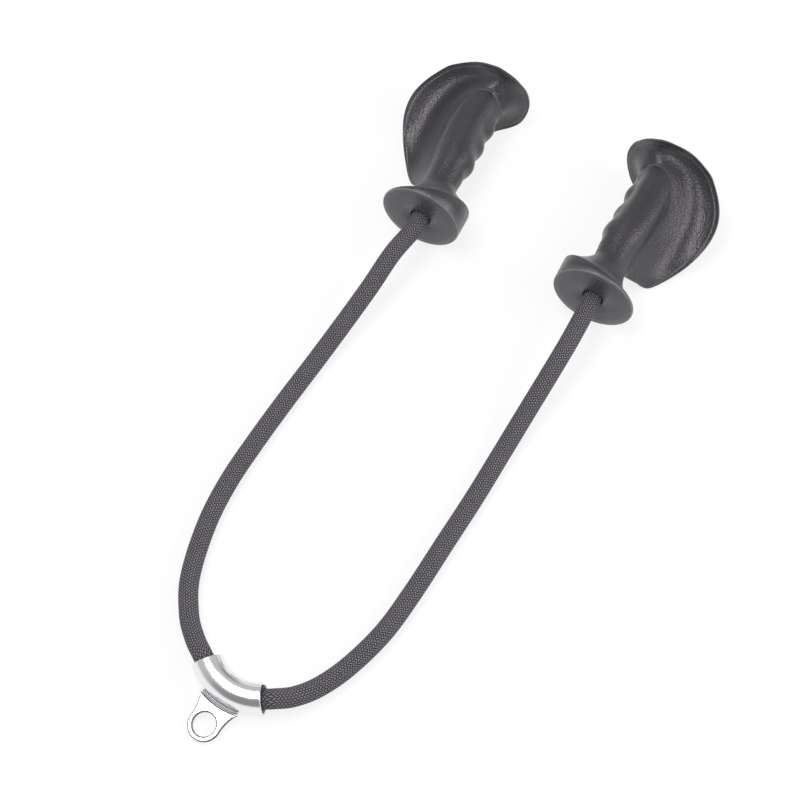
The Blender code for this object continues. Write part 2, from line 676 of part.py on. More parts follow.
def build_side(side, label, route):
    """A handle with its inner pieces, and the leg of rope that carries it."""
    leg = pivot(f"{label}_leg_pivot", mouth(side)[0])
    grip = pivot(f"{label}_handle_pivot", face_centre(side), leg)

    body(f"{label}_handle", *around(handle_rings(side)), "rubber", grip)
    shoulder = HANDLE_LENGTH - SOCKET_DEPTH
    snug = SOCKET_RADIUS - SOCKET_CLEARANCE
    washer = [(BORE_RADIUS, 0.0), (snug, 0.0), (snug, WASHER_THICKNESS), (BORE_RADIUS, WASHER_THICKNESS)]
    seat = along_bore(side, shoulder + SEAT_GAP)
    body(f"{label}_washer", *around(turned(washer, INNER_SIDES, seat)), "steel", grip)

    stop = shoulder + WASHER_THICKNESS + 2 * SEAT_GAP
    crimp = turned(crimp_profile(), INNER_SIDES, along_bore(side, stop))
    body(f"{label}_ferrule", *around(crimp), "alloy", leg)
    tail = face_centre(side) + np.array([0, stop + FERRULE_LENGTH - SEAT_GAP, 0])
    rope(f"rope_end_{label}", [face_centre(side), tail], "rope", leg)

    fit = SOCKET_RADIUS - SEAT_GAP
    plug = [
        (fit - PLUG_DOME, 0.0), (fit, PLUG_DOME), (fit, PLUG_THICKNESS - PLUG_DOME),
        (0.8 * fit, PLUG_THICKNESS - 0.3 * PLUG_DOME), (0.4 * fit, PLUG_THICKNESS),
    ]
    cover = turned(plug, INNER_SIDES, along_bore(side, HANDLE_LENGTH - PLUG_THICKNESS))
    body(f"{label}_plug", *capped(cover), "plastic", grip)

    rope(f"rope_{label}", free_stretch(side, route), "rope", leg)


for old in list(bpy.data.objects):
    bpy.data.objects.remove(old, do_unlink=True)
build_sleeve()
build_side(-1, "left", LEFT_ROUTE)
build_side(1, "right", RIGHT_ROUTE)
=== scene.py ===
"""Triceps rope attachment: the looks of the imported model, at the photograph's camera."""

import json
import math

import bpy
import numpy as np
from mathutils import Matrix, Vector

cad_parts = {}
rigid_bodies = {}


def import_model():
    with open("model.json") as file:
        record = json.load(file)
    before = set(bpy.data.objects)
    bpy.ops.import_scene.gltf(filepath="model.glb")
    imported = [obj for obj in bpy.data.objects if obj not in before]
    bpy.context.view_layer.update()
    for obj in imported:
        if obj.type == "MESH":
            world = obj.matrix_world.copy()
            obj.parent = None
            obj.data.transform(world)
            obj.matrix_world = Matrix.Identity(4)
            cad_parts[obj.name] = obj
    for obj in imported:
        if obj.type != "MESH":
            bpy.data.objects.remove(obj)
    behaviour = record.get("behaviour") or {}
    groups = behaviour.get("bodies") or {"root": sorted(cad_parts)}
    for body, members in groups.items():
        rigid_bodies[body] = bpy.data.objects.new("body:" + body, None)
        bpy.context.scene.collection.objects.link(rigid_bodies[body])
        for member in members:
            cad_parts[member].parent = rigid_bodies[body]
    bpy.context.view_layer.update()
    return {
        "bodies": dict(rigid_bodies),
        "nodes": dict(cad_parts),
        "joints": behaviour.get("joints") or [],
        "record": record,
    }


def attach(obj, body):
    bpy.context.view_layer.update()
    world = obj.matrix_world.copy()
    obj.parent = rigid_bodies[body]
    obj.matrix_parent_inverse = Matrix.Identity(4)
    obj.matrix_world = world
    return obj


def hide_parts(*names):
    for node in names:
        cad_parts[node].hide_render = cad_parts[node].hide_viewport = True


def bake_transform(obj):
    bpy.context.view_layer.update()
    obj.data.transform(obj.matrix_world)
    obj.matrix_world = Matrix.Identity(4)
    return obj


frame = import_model()

# Fit
SEAT_GAP = 0.0003  # between pieces that touch

# Rope
ROPE_RADIUS = 0.008

# Where things lie: bores parallel to Y, the left handle a little further out
BORE_SPACING = 0.1658
BORE_STAGGER = 0.0096
FACE_Y = 0.1563  # mean Y of the two discs' front faces
SLEEVE_X = -0.0306  # the bend's middle, on the tube's centreline
SLEEVE_Y = -0.2806
SLEEVE_TURN = math.radians(-9.0)

# Handle moulding, measured along the bore from the disc's front face
HANDLE_LENGTH = 0.164
BORE_CLEARANCE = 0.00075
BORE_CHAMFER = 0.0012
DISC_RADIUS = 0.0362
DISC_DOME = 0.0008
DISC_EDGE = 0.0013  # where the edge's round meets the rim wall
DISC_CORNER = 0.0009  # crisp corner behind the rim wall
DISC_WALL_THIN = 0.003  # rim wall on the wing side
DISC_WALL_DEEP = 0.023  # rim wall at the thumb lug, on the finger side
NECK_RADIUS = 0.0154
NECK_START = 0.030
NECK_END = 0.039
GRIP_RADIUS = 0.0176
GRIP_RISE_START = 0.040
GRIP_RISE_LENGTH = 0.035
GRIP_EASE = 0.0008  # slimming towards the flange
GRIP_EASE_START = 0.115
GRIP_EASE_LENGTH = 0.025
TAPER_DEPTH = 0.0052  # slimming under the index finger, on the finger side's top
TAPER_START = 0.062
TAPER_LENGTH = 0.048
RIDGE_HEIGHT = 0.0026
RIDGE_PITCH = 0.0236
RIDGE_START = 0.0565  # valley before the first ridge
RIDGE_SKEW = 0.005  # the ridges lean round the grip
RIDGE_FADE = 0.006
RIDGE_BED = 0.001  # the bed that the ridges stand in
RIDGE_LIFT = 0.0003
RIDGE_COUNT = 3
WING_REACH = 0.0668  # outward from the bore's axis
RIM_THICKNESS = 0.0044
DISH_DEPTH = 0.011
TURN_REACH = 0.026  # how far the round from grip to wing runs each way
END_RADIUS = 0.017
UNDER_REACH = 0.023  # the flange's back is solid within this distance of the bore's axis

# Far-end socket and what sits in it, measured along the bore
SOCKET_RADIUS = 0.0115
SOCKET_CHAMFER = 0.0008
SOCKET_DEPTH = 0.016
WASHER_THICKNESS = 0.0015
FERRULE_LENGTH = 0.009
PLUG_THICKNESS = 0.003
PLUG_DOME = 0.0006

# Steel sleeve and eye
TUBE_RADIUS = 0.0127
TUBE_WALL = 0.0016
BEND_RADIUS = 0.0465
BEND_ANGLE = math.radians(71.0)
LIP_ROUND = 0.0007
EYE_THICKNESS = 0.004
EYE_EDGE_ROUND = 0.0010
EYE_RADIUS = 0.0134
EYE_HOLE_RADIUS = 0.0094
EYE_REACH = 0.0320  # hole centre from the bend's centreline
EYE_ROOT_HALF = 0.0172
EYE_WAIST_OUT = 0.0130
EYE_WAIST_REACH = 0.0220
WELD_WIDTH = 0.0020
WELD_CROWN = 0.0006
RING_WIDTH = 0.0016
RING_ROUND = 0.0005
RING_INSET = 0.019  # the left ring's depth inside its mouth
MOUTH_DRIFT = 0.0014  # the rope leaves the left mouth this far to the bend's outer side
DRIFT_REACH = 0.018  # where that drift begins, inside the mouth
EYE_LIFT = math.radians(8.0)  # the tab's sides meet its round tip this far above the hole's middle
LIP_CORNER = 0.3  # where the middle point of a rounded lip lies, of the lip's round
WELD_END = 0.45  # the bead's height at its ends, of its full height

# Routes of the rope's free stretches, from the handle's bore to the sleeve's mouth
LEFT_ROUTE = [
    (-0.0885, 0.1186, 0.0345),
    (-0.0931, 0.0829, 0.0265),
    (-0.1004, 0.0438, 0.0152),
    (-0.1061, 0.0084, 0.0090),
    (-0.1111, -0.0347, 0.0082),
    (-0.1152, -0.0800, 0.0082),
    (-0.1175, -0.1240, 0.0082),
    (-0.1147, -0.1656, 0.0082),
    (-0.1043, -0.2105, 0.0084),
    (-0.0892, -0.2391, 0.0094),
    (-0.0748, -0.2553, 0.0121),
]
RIGHT_ROUTE = [
    (0.0822, 0.1072, 0.0346),
    (0.0789, 0.0720, 0.0268),
    (0.0744, 0.0334, 0.0158),
    (0.0707, -0.0067, 0.0088),
    (0.0680, -0.0493, 0.0082),
    (0.0639, -0.0960, 0.0082),
    (0.0595, -0.1466, 0.0082),
    (0.0539, -0.1856, 0.0082),
    (0.0424, -0.2220, 0.0082),
    (0.0296, -0.2474, 0.0092),
    (0.0168, -0.2638, 0.0126),
]
ROUTE_LEAD = 0.014  # straight run where a stretch meets a bore
MOUTH_LEAD = 0.006  # and a mouth

BORE_RADIUS = ROPE_RADIUS + BORE_CLEARANCE
AXIS_HEIGHT = DISC_RADIUS
# The tab droops until its tip rests on the floor beside the tube.
EYE_TILT = math.asin((TUBE_RADIUS - EYE_THICKNESS / 2) / (EYE_REACH + EYE_RADIUS))

# Bends of the disc's back from rim wall to neck, on the wing side and at the thumb lug
WING_SWEEP = 2.6
LUG_SWEEP = 1.5

# Facets, finer than the solids'
COLUMNS = 180
BACK_RINGS = 12
GRIP_RINGS = 60
CREST_RINGS = 20
DISH_RINGS = 18
LIP_RINGS = 20
RIM_RINGS = 2
UNDER_RINGS = 8
CLOSE_RINGS = 10
END_RINGS = 6
EVENING = 64  # times that neighbouring columns are evened: the underside
RIM_EVENING = 6  # the rim
DISH_EVENING = 44  # the dish and the grip's end
TUBE_SIDES = 96
INNER_SIDES = 64
TUBE_RINGS = 64
EYE_POINTS = 72
SIDE_POINTS = 8
WELD_RINGS = 60

# Fine forms that the solids leave out
RIM_BEAD = 0.00045  # the raised line inside the wing's rim
BEAD_IN = 0.0030
BEAD_HALF = 0.00055
BEAD_CHORD = 0.018  # it fades where the wing is narrower than this
LIP_ZONE = 0.007  # the stretch next to the rim with closer rings
PAD = 0.0045  # how far the palm's swelling fills the corner between grip and wing
PAD_ANGLE = math.radians(26.0)
PAD_SPREAD = math.radians(30.0)
PAD_START = 0.048
PAD_LENGTH = 0.055
CREST = 0.0008  # the raised arc at the grip's end
CREST_IN = 0.0012
CREST_HALF = 0.0007
CREST_ZONE = 0.008  # the stretch before the grip's end with closer rings
CREST_ANGLE = math.radians(105.0)
CREST_SPREAD = math.radians(60.0)

# Directions round a handle's bore: 0 points outward along the wing, 90 degrees up
FINGER_ANGLE = math.radians(197.0)
FINGER_SPREAD = math.radians(43.0)
TAPER_ANGLE = math.radians(150.0)
TAPER_SPREAD = math.radians(40.0)
DISH_SKEW = 1.35  # above 1 the dish is deepest nearer to the rim

# The flange and wing, as spokes that leave the grip and end at the rim, clockwise from the finger side.
# Each has its rim's place (of WING_REACH, DISC_RADIUS and HANDLE_LENGTH), its direction in degrees, where it
# leaves the grip (of HANDLE_LENGTH), its dish (of DISH_DEPTH), how far its thickness leans outward and down,
# how much it thickens towards the grip (of RIM_THICKNESS), and how wide the round from the grip is (of
# TURN_REACH).
SPOKE_SHARES = [
    (-0.494, -0.083, 0.954, -176, 0.841, 0.36, 0, 0, 1, 0.06),
    (-0.440, 0.285, 0.952, 158, 0.848, 0.36, 0, 0, 1, 0.06),
    (-0.365, 0.515, 0.940, 141, 0.855, 0.36, 0, 0.05, 1, 0.06),
    (-0.272, 0.727, 0.931, 124, 0.860, 0.36, 0, 0.1, 1, 0.06),
    (-0.100, 0.893, 0.926, 104, 0.866, 0.38, 0, 0.2, 1, 0.06),
    (0.050, 0.850, 0.945, 90, 0.866, 0.42, 0.1, 0.2, 1, 0.08),
    (0.328, 0.580, 0.980, 66, 0.860, 0.55, 0.2, 0.3, 1, 0.07),
    (0.606, 0.423, 0.938, 43, 0.823, 0.75, 0.4, 0.5, 1, 0.12),
    (0.729, 0.304, 0.905, 33, 0.787, 0.86, 0.4, 0.6, 1, 0.3),
    (0.910, 0.069, 0.818, 17, 0.695, 1.00, 0.3, 0.8, 1, 0.85),
    (0.997, -0.133, 0.720, 2, 0.598, 1.00, 0.1, 0.9, 1, 1),
    (0.976, -0.387, 0.612, -11, 0.494, 0.86, 0, 1, 1, 1),
    (0.849, -0.704, 0.502, -23, 0.384, 0.59, 0, 1, 1, 1),
    (0.701, -0.856, 0.410, -32, 0.305, 0.32, 0, 1, 0.8, 1),
    (0.584, -0.925, 0.345, -39, 0.245, 0.11, 0, 0.6, 0.3, 1),
    (0.484, -0.945, 0.309, -43, 0.232, 0.00, 0, 0.2, 0, 1),
    (0.385, -0.890, 0.308, -48, 0.232, 0.00, 0.2, 0, 0, 1),
    (0.303, -0.800, 0.345, -56, 0.280, 0.05, 0.5, -0.3, 0, 1),
    (0.210, -0.704, 0.537, -70, 0.463, 0.14, 1, -0.2, 0.2, 1),
    (0.045, -0.829, 0.707, -88, 0.646, 0.23, 0.9, 0, 0.5, 0.9),
    (-0.090, -0.953, 0.811, -102, 0.738, 0.32, 0.6, 0, 0.8, 0.7),
    (-0.195, -0.967, 0.860, -115, 0.793, 0.38, 0.3, 0, 1, 0.5),
    (-0.299, -0.953, 0.896, -128, 0.829, 0.45, 0, 0, 1, 0.3),
    (-0.404, -0.870, 0.936, -143, 0.841, 0.38, 0, 0, 1, 0.15),
    (-0.479, -0.497, 0.951, -159, 0.841, 0.36, 0, 0, 1, 0.08),
]
FIRST_COLUMN = math.radians(-181.0)


def around(rings):
    """Points and faces of a skin that closes on itself both along and round."""
    turns, count = rings.shape[:2]
    faces = []
    for a in range(turns):
        b = (a + 1) % turns
        for i in range(count):
            j = (i + 1) % count
            faces.append((a * count + i, a * count + j, b * count + j, b * count + i))
    return rings.reshape(-1, 3), faces


def capped(rings):
    """Points and faces of a skin that closes round, with a flat face on its first and last rings."""
    turns, count = rings.shape[:2]
    points, faces = around(rings)
    faces = faces[: (turns - 1) * count]
    faces.append(tuple(range(count)))
    faces.append(tuple(range((turns - 1) * count, turns * count)))
    return points, faces


def moved(matrix, points):
    """Points placed by a rigid matrix."""
    turn = np.array(matrix.to_3x3())
    return points @ turn.T + np.array(matrix.translation)


def turned(profile, sides, matrix):
    """Rings of a profile of (radius, distance along Z), turned about Z and placed."""
    angles = np.arange(sides) * (2 * math.pi / sides)
    rings = [np.stack([r * np.cos(angles), r * np.sin(angles), np.full(sides, d)], 1) for r, d in profile]
    return moved(matrix, np.array(rings))


def through(rows, steps, closed=False):
    """Rows read at even steps from the Catmull-Rom curve through them."""
    rows = np.asarray(rows, float)
    count = len(rows)
    if closed:
        x = np.linspace(0, count, steps, endpoint=False)
        i = np.floor(x).astype(int)
        picks = [rows[(i + k) % count] for k in (-1, 0, 1, 2)]
    else:
        rows = np.vstack([2 * rows[0] - rows[1], rows, 2 * rows[-1] - rows[-2]])
        x = np.linspace(0, count - 1, steps)
        i = np.minimum(np.floor(x).astype(int), count - 2)
        picks = [rows[i + k] for k in (0, 1, 2, 3)]
    f = (x - i)[:, None]
    a, b, c, d = picks
    return (2 * b + (c - a) * f + (2 * a - 5 * b + 4 * c - d) * f**2 + (3 * b - a - 3 * c + d) * f**3) / 2


def ease(x):
    """A smooth step from 0 to 1."""
    x = np.clip(x, 0, 1)
    return x * x * (3 - 2 * x)


def near(angle, centre, spread):
    """1 at a centre angle, falling to 0 on both sides over a spread."""
    off = (angle - centre + math.pi) % (2 * math.pi) - math.pi
    return np.exp(-((off / spread) ** 2))


# Handle moulding. Local axes: u outward from the bore, v up, w along the bore from the disc's face.


def wall_depth(angle):
    """Length of the disc's rim wall: thin on the wing side, deep where the thumb lug is."""
    lug = ((1 - math.cos(angle)) / 2) ** 2
    return DISC_WALL_THIN + (DISC_WALL_DEEP - DISC_WALL_THIN) * lug, lug


def disc_back(angle, w):
    """Radius of the disc's back, which sweeps from the rim wall down to the neck."""
    depth, lug = wall_depth(angle)
    left = max(0.0, 1 - (w - depth) / (NECK_END - depth))
    sweep = (1 - lug) * left**WING_SWEEP + lug * left**LUG_SWEEP
    return NECK_RADIUS + (DISC_RADIUS - DISC_CORNER - NECK_RADIUS) * sweep


def grip_radius(angle, w):
    """Radius of the grip with its taper under the index finger and the ridges on the finger side."""
    full = GRIP_RADIUS - GRIP_EASE * ease((w - GRIP_EASE_START) / GRIP_EASE_LENGTH)
    radius = NECK_RADIUS + (full - NECK_RADIUS) * ease((w - GRIP_RISE_START) / GRIP_RISE_LENGTH)
    radius -= TAPER_DEPTH * ease((w - TAPER_START) / TAPER_LENGTH) * near(angle, TAPER_ANGLE, TAPER_SPREAD)
    leaning = w - RIDGE_SKEW * math.sin(angle)
    last = RIDGE_START + RIDGE_COUNT * RIDGE_PITCH
    wave = (1 - math.cos(2 * math.pi * (leaning - RIDGE_START) / RIDGE_PITCH)) / 2
    fade = ease((leaning - RIDGE_START) / RIDGE_FADE + 0.5) * ease((last - leaning) / RIDGE_FADE + 0.5)
    bed = ease((leaning - RIDGE_START) / RIDGE_FADE + 1) * ease((last - leaning) / RIDGE_FADE + 1)
    rise = RIDGE_HEIGHT * wave * fade - RIDGE_BED * bed + RIDGE_LIFT
    return radius + rise * near(angle, FINGER_ANGLE, FINGER_SPREAD)


def bead(distance, place, half):
    """A rounded ridge, full at its place and fading over its half width."""
    return math.exp(-(((distance - place) / half) ** 2))


def fine_end(start, end, coarse, fine, zone):
    """Marks from start to end, closer together over the last stretch."""
    turn = end - zone
    return [*np.linspace(start, turn, coarse + 1)[1:], *np.linspace(turn, end, fine + 1)[1:]]


def spokes():
    """The given spokes in metres, with the angle running on past a full turn, read at each column."""
    shares = np.array(SPOKE_SHARES, float)
    rows = shares.copy()
    rows[:, 0] *= WING_REACH
    rows[:, 1] *= DISC_RADIUS
    rows[:, 2] *= HANDLE_LENGTH
    rows[:, 4] *= HANDLE_LENGTH
    rows[:, 5] *= DISH_DEPTH
    rows[:, 9] *= TURN_REACH
    drift = 2 * math.pi * np.arange(len(rows)) / len(rows)
    rows[:, 3] = np.unwrap(np.radians(rows[:, 3])) + drift
    read = through(rows, COLUMNS, closed=True)
    read[:, 3] -= 2 * math.pi * np.arange(COLUMNS) / COLUMNS
    return read


def handle_column(spoke, even):
    """One lengthwise section of the moulding, from the bore's front edge round the outside and back."""
    rim = spoke[:3]
    angle, leave, dish, lean, down, bulk, reach = spoke[3:]

    def out(direction, radius, w):
        return np.array([radius * math.cos(direction), radius * math.sin(direction), w])

    depth = wall_depth(even)[0]
    corner = max(depth - DISC_CORNER, 0.9 * DISC_EDGE + 0.1 * depth)
    dome = DISC_DOME
    column = [
        out(even, BORE_RADIUS, BORE_CHAMFER),
        out(even, BORE_RADIUS + BORE_CHAMFER, 0.0),
        out(even, (DISC_RADIUS + BORE_RADIUS) / 2.4, -dome),
        out(even, 0.8 * DISC_RADIUS, -0.75 * dome),
        out(even, DISC_RADIUS - DISC_EDGE, 0.0),
        out(even, DISC_RADIUS - DISC_EDGE / 4, 0.4 * DISC_EDGE),
        out(even, DISC_RADIUS, DISC_EDGE),
        out(even, DISC_RADIUS, (DISC_EDGE + corner) / 2),
        out(even, DISC_RADIUS, corner),
        out(even, DISC_RADIUS - DISC_CORNER, depth),
    ]
    for w in np.linspace(depth, NECK_START, BACK_RINGS + 1)[1:]:
        column.append(out(even, disc_back(even, w), w))

    def grip(w):
        turn = even + (angle - even) * ease((w - NECK_START) / GRIP_RISE_LENGTH)
        radius = grip_radius(turn, w)
        if w < NECK_END:
            radius = max(radius, disc_back(turn, w))
        radius += PAD * near(turn, PAD_ANGLE, PAD_SPREAD) * ease((w - PAD_START) / PAD_LENGTH)
        if w < leave:
            radius += CREST * near(turn, CREST_ANGLE, CREST_SPREAD) * bead(leave - w, CREST_IN, CREST_HALF)
        return out(turn, radius, w)

    start = grip(leave)
    chord = rim - start
    length = np.linalg.norm(chord)
    inward = chord / length
    thick = np.array([lean, -down, 1 - 0.7 * down])
    thick -= inward * (thick @ inward)
    thick /= np.linalg.norm(thick)

    def base(t):
        return start + chord * t + thick * dish * math.sin(math.pi * t**DISH_SKEW)

    def inner(t):
        raised = RIM_BEAD * ease((length - BEAD_CHORD) / BEAD_CHORD)
        return base(t) - thick * raised * bead((1 - t) * length, BEAD_IN, BEAD_HALF)

    def outer(t):
        return base(t) + thick * RIM_THICKNESS * (1 + bulk * (1 - t))

    reach = min(reach, 0.8 * (leave - NECK_START), 0.5 * length)
    reach_share = reach / length

    def round_off(s):
        return (1 - s) ** 2 * grip(leave - reach) + 2 * s * (1 - s) * start + s * s * inner(reach_share)

    close = min(CREST_ZONE, (leave - NECK_START) / 2)
    for w in fine_end(NECK_START, leave, GRIP_RINGS, CREST_RINGS, close):
        past = (w - leave + reach) / reach
        column.append(round_off(past / 2) if past > 0 else grip(w))
    for t in fine_end(0, 1, DISH_RINGS, LIP_RINGS, min(LIP_ZONE / length, 0.45)):
        column.append(round_off(0.5 + t / reach_share / 2) if t < reach_share else inner(t))
    column.append(rim + RIM_THICKNESS * (0.3 * thick + 0.25 * inward))
    column.append(rim + RIM_THICKNESS * (0.8 * thick + 0.2 * inward))
    far, half = (np.hypot(*outer(t)[:2]) for t in (1.0, 0.5))
    stop = 0.5 + 0.5 * max(UNDER_REACH - half, 0.0) / max(far - half, RIM_THICKNESS)
    stop = min(stop, 0.9)
    column += [outer(t) for t in np.linspace(0.98, stop, UNDER_RINGS)]
    mid = outer(stop)
    back = mid - outer(stop + 0.02)
    back /= np.linalg.norm(back)
    aside = (math.atan2(mid[1], mid[0]) - angle + math.pi) % (2 * math.pi) - math.pi
    angle += 0.6 * aside
    end = out(angle, END_RADIUS, HANDLE_LENGTH)
    spare = max(np.hypot(*mid[:2]) - UNDER_REACH, 0.0)
    first = mid + back * (spare / 2 + RIM_THICKNESS)
    second = end + out(angle, min(0.35 * np.linalg.norm(end - mid), 0.4 * length), 0.0)
    for t in np.linspace(0, 1, CLOSE_RINGS + 1)[1:]:
        s = 1 - t
        column.append(s**3 * mid + 3 * s**2 * t * first + 3 * s * t**2 * second + t**3 * end)
    column += [
        out(angle, SOCKET_RADIUS + SOCKET_CHAMFER, HANDLE_LENGTH),
        out(angle, SOCKET_RADIUS, HANDLE_LENGTH - SOCKET_CHAMFER),
        out(angle, SOCKET_RADIUS, HANDLE_LENGTH - SOCKET_DEPTH),
    ]
    for share in (0, 1 / 3, 2 / 3):
        w = (HANDLE_LENGTH - SOCKET_DEPTH) * (1 - share) + BORE_CHAMFER * share
        column.append(out(angle + (even - angle) * share, BORE_RADIUS, w))
    return column


def dish_row(rows):
    """Where the dish begins in a column of this many rows."""
    return rows - END_RINGS - CLOSE_RINGS - UNDER_RINGS - RIM_RINGS - LIP_RINGS - DISH_RINGS


def handle_rings(side):
    """The moulding as columns round the bore, with the underside, rim and dish evened from spoke to spoke."""
    read = spokes()
    evens = FIRST_COLUMN - 2 * math.pi * np.arange(COLUMNS) / COLUMNS
    evens += 2 * math.pi * np.round((read[:, 3] - evens).mean() / (2 * math.pi))
    rings = np.array([handle_column(spoke, even) for spoke, even in zip(read, evens)])
    under = len(rings[0]) - END_RINGS - CLOSE_RINGS - UNDER_RINGS
    for _ in range(EVENING):
        blend = (np.roll(rings, 1, 0) + 2 * rings + np.roll(rings, -1, 0)) / 4
        for i in range(UNDER_RINGS + CLOSE_RINGS):
            share = min(1.0, (i + 1) / UNDER_RINGS)
            rings[:, under + i] += share * (blend[:, under + i] - rings[:, under + i])
    dish = dish_row(len(rings[0]))
    first = dish - CREST_RINGS
    rise, fall = np.linspace(0, 1, CREST_RINGS), np.linspace(1, 0, DISH_RINGS + LIP_RINGS)
    share = np.concatenate([rise, np.ones(under - dish)])
    for n in range(RIM_EVENING + DISH_EVENING):  # the rim with the dish, then the dish alone
        if n == RIM_EVENING:
            share = np.concatenate([rise, fall, np.zeros(RIM_RINGS)])
        part = rings[:, first:under]
        blend = (np.roll(part, 1, 0) + 2 * part + np.roll(part, -1, 0)) / 4
        rings[:, first:under] += share[:, None] * (blend - part)
    u, v, w = rings[..., 0], rings[..., 1], rings[..., 2]
    return np.stack([u * side, w, v], -1) + face_centre(side)


def face_centre(side):
    return np.array([side * BORE_SPACING / 2, FACE_Y - side * BORE_STAGGER / 2, AXIS_HEIGHT])


def along_bore(side, w):
    """Places things turned about Z on the handle's bore, w from the disc's face."""
    place = Matrix.Translation(Vector(face_centre(side)) + Vector((0, w, 0)))
    return place @ Matrix.Rotation(-math.pi / 2, 4, "X")


# Sleeve. Local axes: X across the mouths, Y towards the handles, Z out of the bend's plane.

SLEEVE = (
    Matrix.Translation((SLEEVE_X, SLEEVE_Y, TUBE_RADIUS))
    @ Matrix.Rotation(SLEEVE_TURN, 4, "Z")
    @ Matrix.Rotation(EYE_TILT, 4, "X")
)


def at_bend(angle, radius=BEND_RADIUS, height=0.0):
    """A point of the bend, by its angle from the middle and its distance from the bend's centre."""
    return np.array([radius * math.sin(angle), BEND_RADIUS - radius * math.cos(angle), height])


def bend_frame(angle):
    """Z along the tube, towards the right mouth."""
    place = SLEEVE @ Matrix.Translation(at_bend(angle)) @ Matrix.Rotation(angle, 4, "Z")
    return place @ Matrix.Rotation(math.pi / 2, 4, "Y")


def sleeve_rings():
    """The bent tube's skin: along the outside, over a lip, back through the bore and over the other lip."""
    half, inside = BEND_ANGLE / 2, TUBE_RADIUS - TUBE_WALL
    soft = LIP_ROUND / BEND_RADIUS
    lip = [
        (TUBE_RADIUS, soft),
        (TUBE_RADIUS - LIP_CORNER * LIP_ROUND, LIP_CORNER * soft),
        (TUBE_RADIUS - LIP_ROUND, 0.0),
        (inside + LIP_ROUND, 0.0),
        (inside + LIP_CORNER * LIP_ROUND, LIP_CORNER * soft),
        (inside, soft),
    ]
    spans = np.linspace(-half + soft, half - soft, TUBE_RINGS + 1)
    stations = [(TUBE_RADIUS, a) for a in spans[1:-1]]
    stations += [(r, half - s) for r, s in lip]
    stations += [(inside, a) for a in spans[-2:0:-1]]
    stations += [(r, s - half) for r, s in reversed(lip)]
    return np.array([turned([(r, 0.0)], TUBE_SIDES, bend_frame(a))[0] for r, a in stations])


def eye_outline():
    """The tab's outline round its hole, from the right root corner clockwise, in the bend's plane."""
    root = BEND_RADIUS + TUBE_RADIUS + WELD_WIDTH + 2 * SEAT_GAP
    spread = math.asin(EYE_ROOT_HALF / root)
    corner = at_bend(spread, root)[:2]
    waist = np.array([EYE_WAIST_OUT, -EYE_WAIST_REACH])
    centre = np.array([0.0, -EYE_REACH])
    join = centre + EYE_RADIUS * np.array([math.cos(EYE_LIFT), math.sin(EYE_LIFT)])
    marks = np.linspace(0, 1, SIDE_POINTS)
    side = [(1 - t) ** 2 * corner + 2 * t * (1 - t) * waist + t * t * join for t in marks]
    tip = [
        centre + EYE_RADIUS * np.array([math.cos(a), math.sin(a)])
        for a in np.linspace(EYE_LIFT, -math.pi - EYE_LIFT, EYE_POINTS)
    ]
    other = [p * [-1, 1] for p in reversed(side)]
    top = [at_bend(a, root)[:2] for a in np.linspace(-spread, spread, WELD_RINGS)]
    return np.array(side + tip[1:-1] + other + top[1:-1]), centre


def eye_rings():
    """The tab's skin as loops round its outline and through its hole, with rounded edges."""
    outline, centre = eye_outline()
    ahead, behind = np.roll(outline, -1, 0) - outline, outline - np.roll(outline, 1, 0)
    ahead, behind = (d / np.linalg.norm(d, axis=1)[:, None] for d in (ahead, behind))
    normals = [np.array([-d[1], d[0]]) / np.linalg.norm(d) for d in ahead + behind]
    inset = outline - np.array(normals) * EYE_EDGE_ROUND
    toward = (outline - centre) / np.linalg.norm(outline - centre, axis=1)[:, None]
    hole, lead = (centre + toward * r for r in (EYE_HOLE_RADIUS, EYE_HOLE_RADIUS + EYE_EDGE_ROUND))
    face, edge = EYE_THICKNESS / 2, EYE_THICKNESS / 2 - EYE_EDGE_ROUND
    loops = [
        (inset, face), (outline, edge), (outline, -edge), (inset, -face),
        (lead, -face), (hole, -edge), (hole, edge), (lead, face),
    ]
    rings = np.array([np.column_stack([loop, np.full(len(loop), z)]) for loop, z in loops])
    return moved(SLEEVE, rings)


def weld_rings():
    """A bead along the tab's root. Its back follows the tube, and it thins out at both ends."""
    root = BEND_RADIUS + TUBE_RADIUS + WELD_WIDTH + 2 * SEAT_GAP
    spread = math.asin(EYE_ROOT_HALF / root)
    seat = TUBE_RADIUS + SEAT_GAP
    rings = []
    for angle in np.linspace(-spread, spread, WELD_RINGS + 1):
        fullness = WELD_END + (1 - WELD_END) * ease((spread - abs(angle)) / spread * 4)
        half = (EYE_THICKNESS / 2 + WELD_CROWN) * fullness
        width = WELD_WIDTH * (0.4 + 0.6 * fullness)
        section = []
        for z in np.linspace(-half, half, 5):
            section.append(at_bend(angle, BEND_RADIUS + math.sqrt(seat**2 - z**2), z))
        for share in (0.5, 1.0):
            flat = half - WELD_CROWN * share**2
            section.append(at_bend(angle, BEND_RADIUS + seat + width * share, flat))
        for share in (1.0, 0.5):
            flat = half - WELD_CROWN * share**2
            section.append(at_bend(angle, BEND_RADIUS + seat + width * share, -flat))
        rings.append(section)
    return moved(SLEEVE, np.array(rings))


def ring_rings(outer, sides, frame):
    """A rubber ring round the rope, centred on a frame whose Z runs along the rope."""
    inside = ROPE_RADIUS + SEAT_GAP
    half = RING_WIDTH / 2
    soft = min(RING_ROUND, (outer - inside) / 2.2)
    cut = LIP_CORNER * soft
    profile = [
        (inside, -half + soft), (inside + cut, -half + cut), (inside + soft, -half),
        (outer - soft, -half), (outer - cut, -half + cut), (outer, -half + soft),
        (outer, half - soft), (outer - cut, half - cut), (outer - soft, half),
        (inside + soft, half), (inside + cut, half - cut), (inside, half - soft),
    ]
    return turned(profile, sides, frame)


